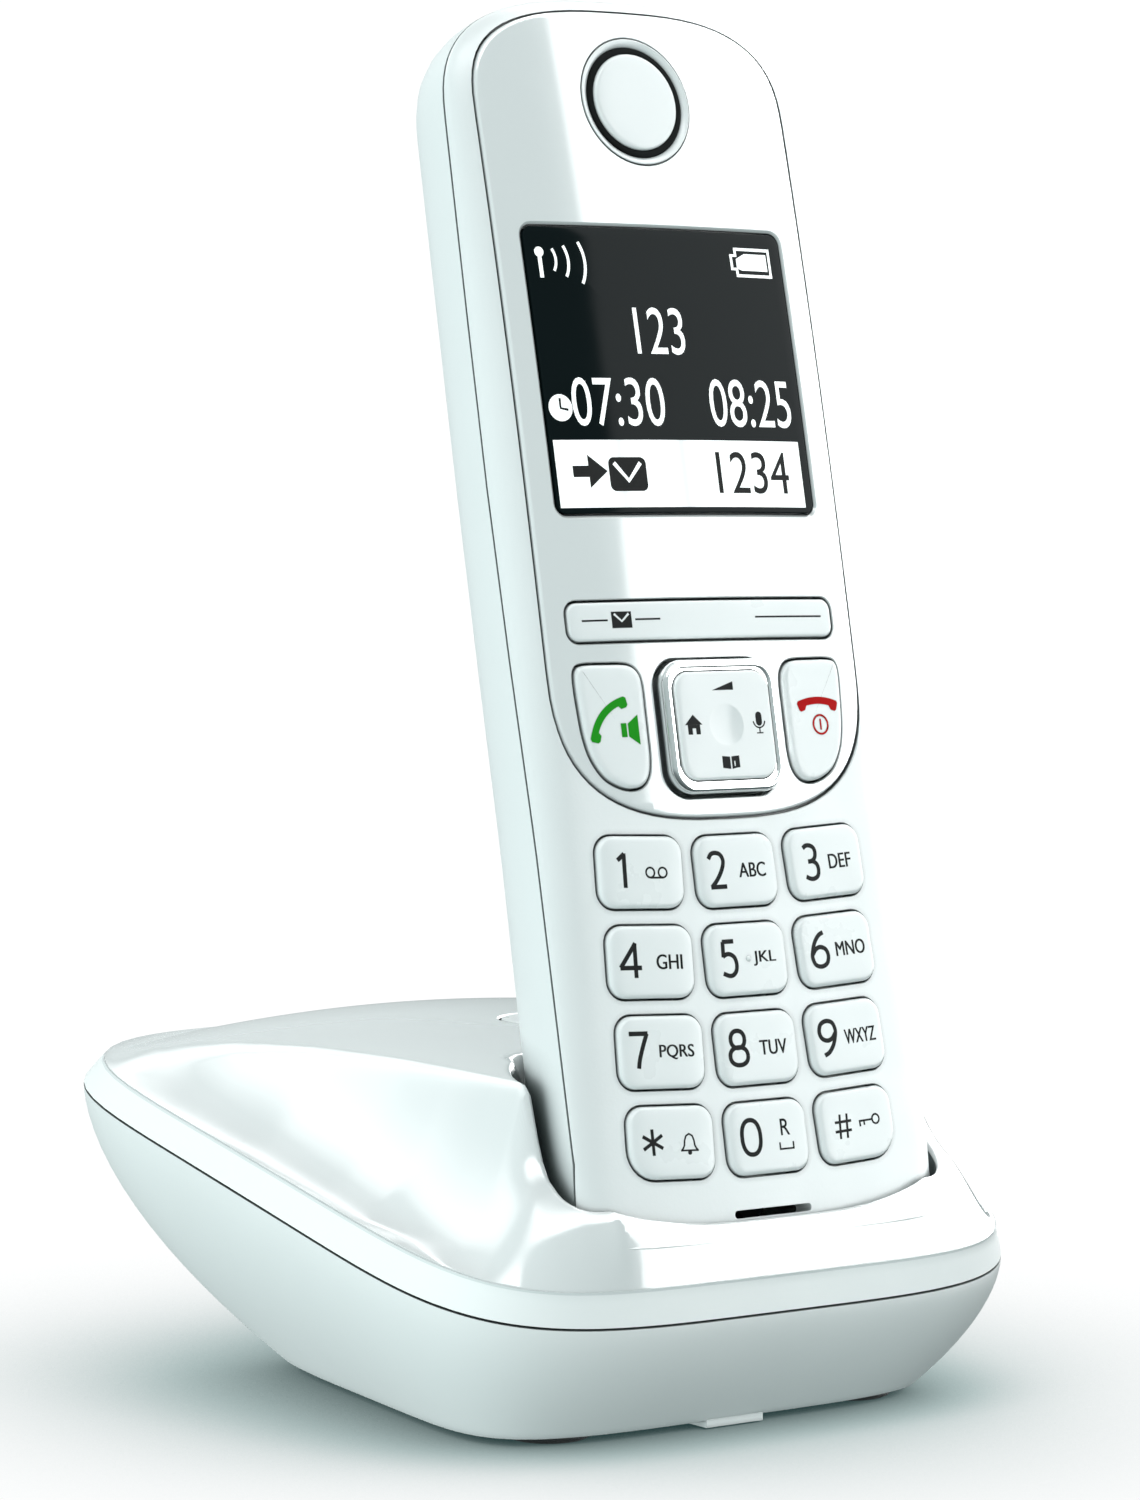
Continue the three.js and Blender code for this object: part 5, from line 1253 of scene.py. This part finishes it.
FEET = [(-21.5, -29.5), (21.5, -29.5), (-16, 19), (16, 19)]
cuts = [disc_tool(x, y, ((5.3, -1), (5.3, 1.75))) for x, y in FEET]
for x in (-23, 23):
    cuts.append(disc_tool(x, 4, ((2.7, -1), (2.7, 2.3), (1.2, 2.31), (1.2, 5)), 32))


def wbox(x0, x1, y0, y1, z0, z1):
    return loft([[(x0, y0, z0), (x1, y0, z0), (x1, y1, z0), (x0, y1, z0)], [(x0, y0, z1), (x1, y0, z1), (x1, y1, z1), (x0, y1, z1)]])


cuts.append(wbox(6.0, 18.0, 30, 60, 18.0, 27.5))
cuts.append(wbox(-17.0, -7.0, 30, 60, 18.0, 27.5))
boolean(hull, join(cuts, "cutters"))
boolean(hull, wbox(-5, 3, -37.0, -33.0, 0.25, 2.2), "UNION")
finish_piece(hull, "hull", "base", ["base_bottom_shell"])
for i, (x, y) in enumerate(FEET):
    nm = "base_foot_" + ["front_left", "front_right", "back_left", "back_right"][i]
    o = disc_tool(x, y, ((3.6, 0), (4.3, 0.02), (4.7, 0.2), (4.95, 0.5), (5.0, 1.2), (4.9, 1.45)))
    o.name = nm + "_pad"
    finish_piece(o, "rubber", "base", [nm])

# ------------------------------------------------------------------ carried-over pieces
CARRY = {
    "page_switch": "black", "base_circuit_board": "board", "base_radio_shield": "steel", "line_socket": "black", "power_socket": "black",
    "base_screw_left": "steel", "base_screw_right": "steel", "base_spring_contact_left": "gold", "base_spring_contact_right": "gold",
    "display_module": "lcd", "receiver_capsule": "steel", "nav_pivot_plate": "steel", "keypad_mat": "silicone", "handset_circuit_board": "board",
    "battery_cell_left": "cell", "battery_cell_right": "cell", "battery_contact_top": "steel", "battery_contact_bottom": "steel",
    "charge_contact_left": "gold", "charge_contact_right": "gold", "microphone_capsule": "mesh", "ringer_speaker": "black",
    "handset_screw_left": "steel", "handset_screw_right": "steel",
}
for n, m in CARRY.items():
    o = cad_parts[n]
    o.data.materials.clear()
    o.data.materials.append(M[m])

# ------------------------------------------------------------------ floor, light, camera
CARD_AZ, CARD_SLOPE = 29.5, 0.215
FLOOR_SHADOW_POW = 1.0
SCREEN_L, BACK_L, SIDE_K, SIDE_GLOW = 6.6, 2.5, 0.36, 2.8
GLOSS_STOPS = [(-1, (0.05, 0.065, 0.065)), (-0.17, (0.2, 0.24, 0.24)), (0.17, (0.5, 0.58, 0.58)), (0.64, (0.6, 0.68, 0.68)), (1, (0.8, 0.85, 0.85))]
SOFT_STOPS = [(-1, (0.06, 0.085, 0.085)), (-0.5, (0.26, 0.32, 0.32)), (-0.1, (0.62, 0.70, 0.70)), (0.15, (0.78, 0.85, 0.85)), (0.5, (0.82, 0.87, 0.87)), (1, (0.86, 0.89, 0.89))]
fl = Mesh()
R = 3000.0
fl.v = [(-R, -R, 0), (R, -R, 0), (R, R, 0), (-R, R, 0)]
fl.face((0, 1, 2, 3))
floor = bpy.data.objects.new("floor", bpy.data.meshes.new("floor"))
floor.data.from_pydata([(x / 1000, y / 1000, -0.00002) for x, y, z in fl.v], [], fl.f)
bpy.context.scene.collection.objects.link(floor)
# the floor glows an even white, and its shadow is painted: ambient occlusion darkens the glow toward a dark cyan tone
# near the object
floor_shadow_material = bpy.data.materials.new("pale_floor")
floor_shadow_material.use_nodes = True
ft = floor_shadow_material.node_tree
ft.nodes.clear()
fo = ft.nodes.new("ShaderNodeOutputMaterial")
fe = ft.nodes.new("ShaderNodeEmission")
floor_shadow_ao = ft.nodes.new("ShaderNodeAmbientOcclusion")
floor_shadow_ao.samples = 12
floor_shadow_ao.inputs["Distance"].default_value = 0.085
floor_shadow_pow = ft.nodes.new("ShaderNodeMath")
floor_shadow_pow.operation = "POWER"
floor_shadow_pow.inputs[1].default_value = FLOOR_SHADOW_POW
floor_shadow_ramp = ft.nodes.new("ShaderNodeValToRGB")
floor_shadow_ramp.color_ramp.elements[0].position = 0.0
floor_shadow_ramp.color_ramp.elements[0].color = (0.015, 0.04, 0.04, 1)
floor_shadow_ramp.color_ramp.elements[1].position = 1.0
floor_shadow_ramp.color_ramp.elements[1].color = (1, 1, 1, 1)
floor_shadow_mid = floor_shadow_ramp.color_ramp.elements.new(0.5)
floor_shadow_mid.color = (0.40, 0.50, 0.495, 1)
fe.inputs["Strength"].default_value = 1.05
ft.links.new(floor_shadow_ao.outputs["AO"], floor_shadow_pow.inputs[0])
ft.links.new(floor_shadow_pow.outputs[0], floor_shadow_ramp.inputs["Fac"])
ft.links.new(floor_shadow_ramp.outputs["Color"], fe.inputs["Color"])
ft.links.new(fe.outputs["Emission"], fo.inputs["Surface"])
floor.visible_diffuse = False
floor.visible_glossy = False
floor.data.materials.append(floor_shadow_material)


def area(name, loc, target, size, power, colour=(1, 1, 1), spread=None):
    li = bpy.data.lights.new(name, "AREA")
    li.shape = "RECTANGLE"
    li.size, li.size_y = size
    li.energy = power
    li.color = colour
    if spread:
        li.spread = math.radians(spread)
    o = bpy.data.objects.new(name, li)
    bpy.context.scene.collection.objects.link(o)
    o.location = loc
    d = Vector(target) - Vector(loc)
    o.rotation_euler = d.to_track_quat("-Z", "Y").to_euler()
    return o


# soft studio surround: a tent that is bright above and to the left, with a tall white
# screen at the front right and a smaller one behind the left shoulder for the gloss
world = bpy.data.worlds.new("studio")
bpy.context.scene.world = world
world.use_nodes = True
wn = world.node_tree
wn.nodes.clear()


def wmath(op, a, b=None, c=None):
    n = wn.nodes.new("ShaderNodeMath")
    n.operation = op
    for i, x in enumerate((a, b, c)):
        if x is None:
            continue
        if isinstance(x, (int, float)):
            n.inputs[i].default_value = x
        else:
            wn.links.new(x, n.inputs[i])
    return n.outputs[0]


def wstep(x, a, b):
    n = wn.nodes.new("ShaderNodeMapRange")
    n.interpolation_type = "SMOOTHSTEP"
    n.inputs["From Min"].default_value = a
    n.inputs["From Max"].default_value = b
    wn.links.new(x, n.inputs["Value"])
    return n.outputs["Result"]


def wramp(x, stops):
    """x runs from -1 to 1; stops are (x, colour)"""
    f = wmath("MULTIPLY_ADD", x, 0.5, 0.5)
    n = wn.nodes.new("ShaderNodeValToRGB")
    cr = n.color_ramp
    while len(cr.elements) < len(stops):
        cr.elements.new(0.5)
    for e, (q, col) in zip(cr.elements, stops):
        e.position = (q + 1) / 2
        e.color = (*col, 1)
    wn.links.new(f, n.inputs["Fac"])
    return n.outputs["Color"]


def wscale(col, k):
    n = wn.nodes.new("ShaderNodeVectorMath")
    n.operation = "SCALE"
    wn.links.new(col, n.inputs[0])
    if isinstance(k, (int, float)):
        n.inputs["Scale"].default_value = k
    else:
        wn.links.new(k, n.inputs["Scale"])
    return n.outputs[0]


def wadd(a, b):
    n = wn.nodes.new("ShaderNodeVectorMath")
    n.operation = "ADD"
    wn.links.new(a, n.inputs[0])
    wn.links.new(b, n.inputs[1])
    return n.outputs[0]


def wcolour(c):
    n = wn.nodes.new("ShaderNodeRGB")
    n.outputs[0].default_value = (*c, 1)
    return n.outputs[0]


wtc = wn.nodes.new("ShaderNodeTexCoord")
wsep = wn.nodes.new("ShaderNodeSeparateXYZ")
wn.links.new(wtc.outputs["Generated"], wsep.inputs[0])
wx, wy, wz = wsep.outputs
az = wmath("MULTIPLY", wmath("ARCTAN2", wx, wmath("MULTIPLY", wy, -1.0)), 57.29578)
el = wmath("MULTIPLY", wmath("ARCSINE", wz), 57.29578)
edge = wmath("SUBTRACT", az, wmath("MULTIPLY_ADD", el, CARD_SLOPE, CARD_AZ))
inv = lambda q: wmath("SUBTRACT", 1.0, q)
mul = lambda *q: q[0] if len(q) == 1 else wmath("MULTIPLY", q[0], mul(*q[1:]))
screen = mul(wstep(edge, -0.5, 0.5), inv(wstep(az, 120, 138)), wstep(wmath("SUBTRACT", el, wmath("MULTIPLY", wmath("MAXIMUM", wmath("SUBTRACT", az, 75.0), 0.0), 0.3)), -16, -8), inv(wstep(el, 60, 75)))
hood = mul(wstep(el, 42, 48), inv(wstep(az, 135, 152)), inv(wstep(wmath("MULTIPLY", az, -1.0), 40, 75)), inv(wstep(el, 50, 80)))
front_screen = wmath("MAXIMUM", screen, hood)
naz = wmath("MULTIPLY", az, -1.0)
rear = wmath("MAXIMUM", wstep(naz, 160, 170), wstep(az, 138, 150))
back_screen = mul(wmath("MAXIMUM", mul(wstep(naz, 95, 126), inv(wstep(naz, 160, 170)), wstep(el, 18, 40)), mul(rear, wstep(el, 28, 46))),
                  wmath("MULTIPLY_ADD", wstep(el, 43, 57), -0.85, 1.0))
back_screen = wmath("ADD", back_screen, mul(rear, inv(wstep(el, 24, 34)), 0.11))
gloss_env = wadd(wadd(wscale(wramp(wz, GLOSS_STOPS), 1.0), wscale(wcolour((1, 1, 1)), wmath("MULTIPLY", front_screen, SCREEN_L))),
                 wscale(wcolour((1, 1, 1)), wmath("MULTIPLY", back_screen, BACK_L)))
side = wmath("ADD", wmath("MULTIPLY_ADD", wx, -SIDE_K, 1.0), mul(wmath("POWER", wmath("MAXIMUM", wmath("MULTIPLY", wx, -1.0), 0.0), 3.0), inv(wstep(wz, 0.05, 0.5)), SIDE_GLOW))
side = wmath("ADD", side, mul(wmath("MAXIMUM", wmath("MULTIPLY", wx, -1.0), 0.0), wstep(wz, 0.1, 0.5), -0.85))
side = wmath("ADD", side, wmath("MULTIPLY", wmath("MAXIMUM", wmath("MULTIPLY", wy, -1.0), 0.0), 0.16))
soft_env = wscale(wramp(wz, SOFT_STOPS), side)
lp = wn.nodes.new("ShaderNodeLightPath")


def wback(c):
    n = wn.nodes.new("ShaderNodeBackground")
    wn.links.new(c, n.inputs["Color"])
    return n.outputs[0]


def wmix(f, a, b):
    n = wn.nodes.new("ShaderNodeMixShader")
    wn.links.new(f, n.inputs["Fac"])
    wn.links.new(a, n.inputs[1])
    wn.links.new(b, n.inputs[2])
    return n.outputs[0]


wo = wn.nodes.new("ShaderNodeOutputWorld")
wn.links.new(wmix(lp.outputs["Is Camera Ray"], wmix(lp.outputs["Is Glossy Ray"], wback(soft_env), wback(gloss_env)), wback(wcolour((1.05, 1.05, 1.05)))), wo.inputs["Surface"])
world.cycles.sampling_method = "NONE"

cam_data = bpy.data.cameras.new("camera")
cam_data.sensor_fit = "AUTO"
cam_data.sensor_width = 36.0
cam_data.lens = 4726.06 / 1500 * 36.0
cam_data.clip_start = 0.01
cam_data.clip_end = 50
cam = bpy.data.objects.new("camera", cam_data)
bpy.context.scene.collection.objects.link(cam)
cam.location = (-0.32307, -0.45690, 0.10494)
cam.rotation_euler = (math.radians(86.9194), 0.0, math.radians(-35.4744))
bpy.context.scene.camera = cam
vs = bpy.context.scene.view_settings
vs.view_transform = "Standard"
vs.look = "None"
vs.exposure = 0.0
vs.gamma = 1.0
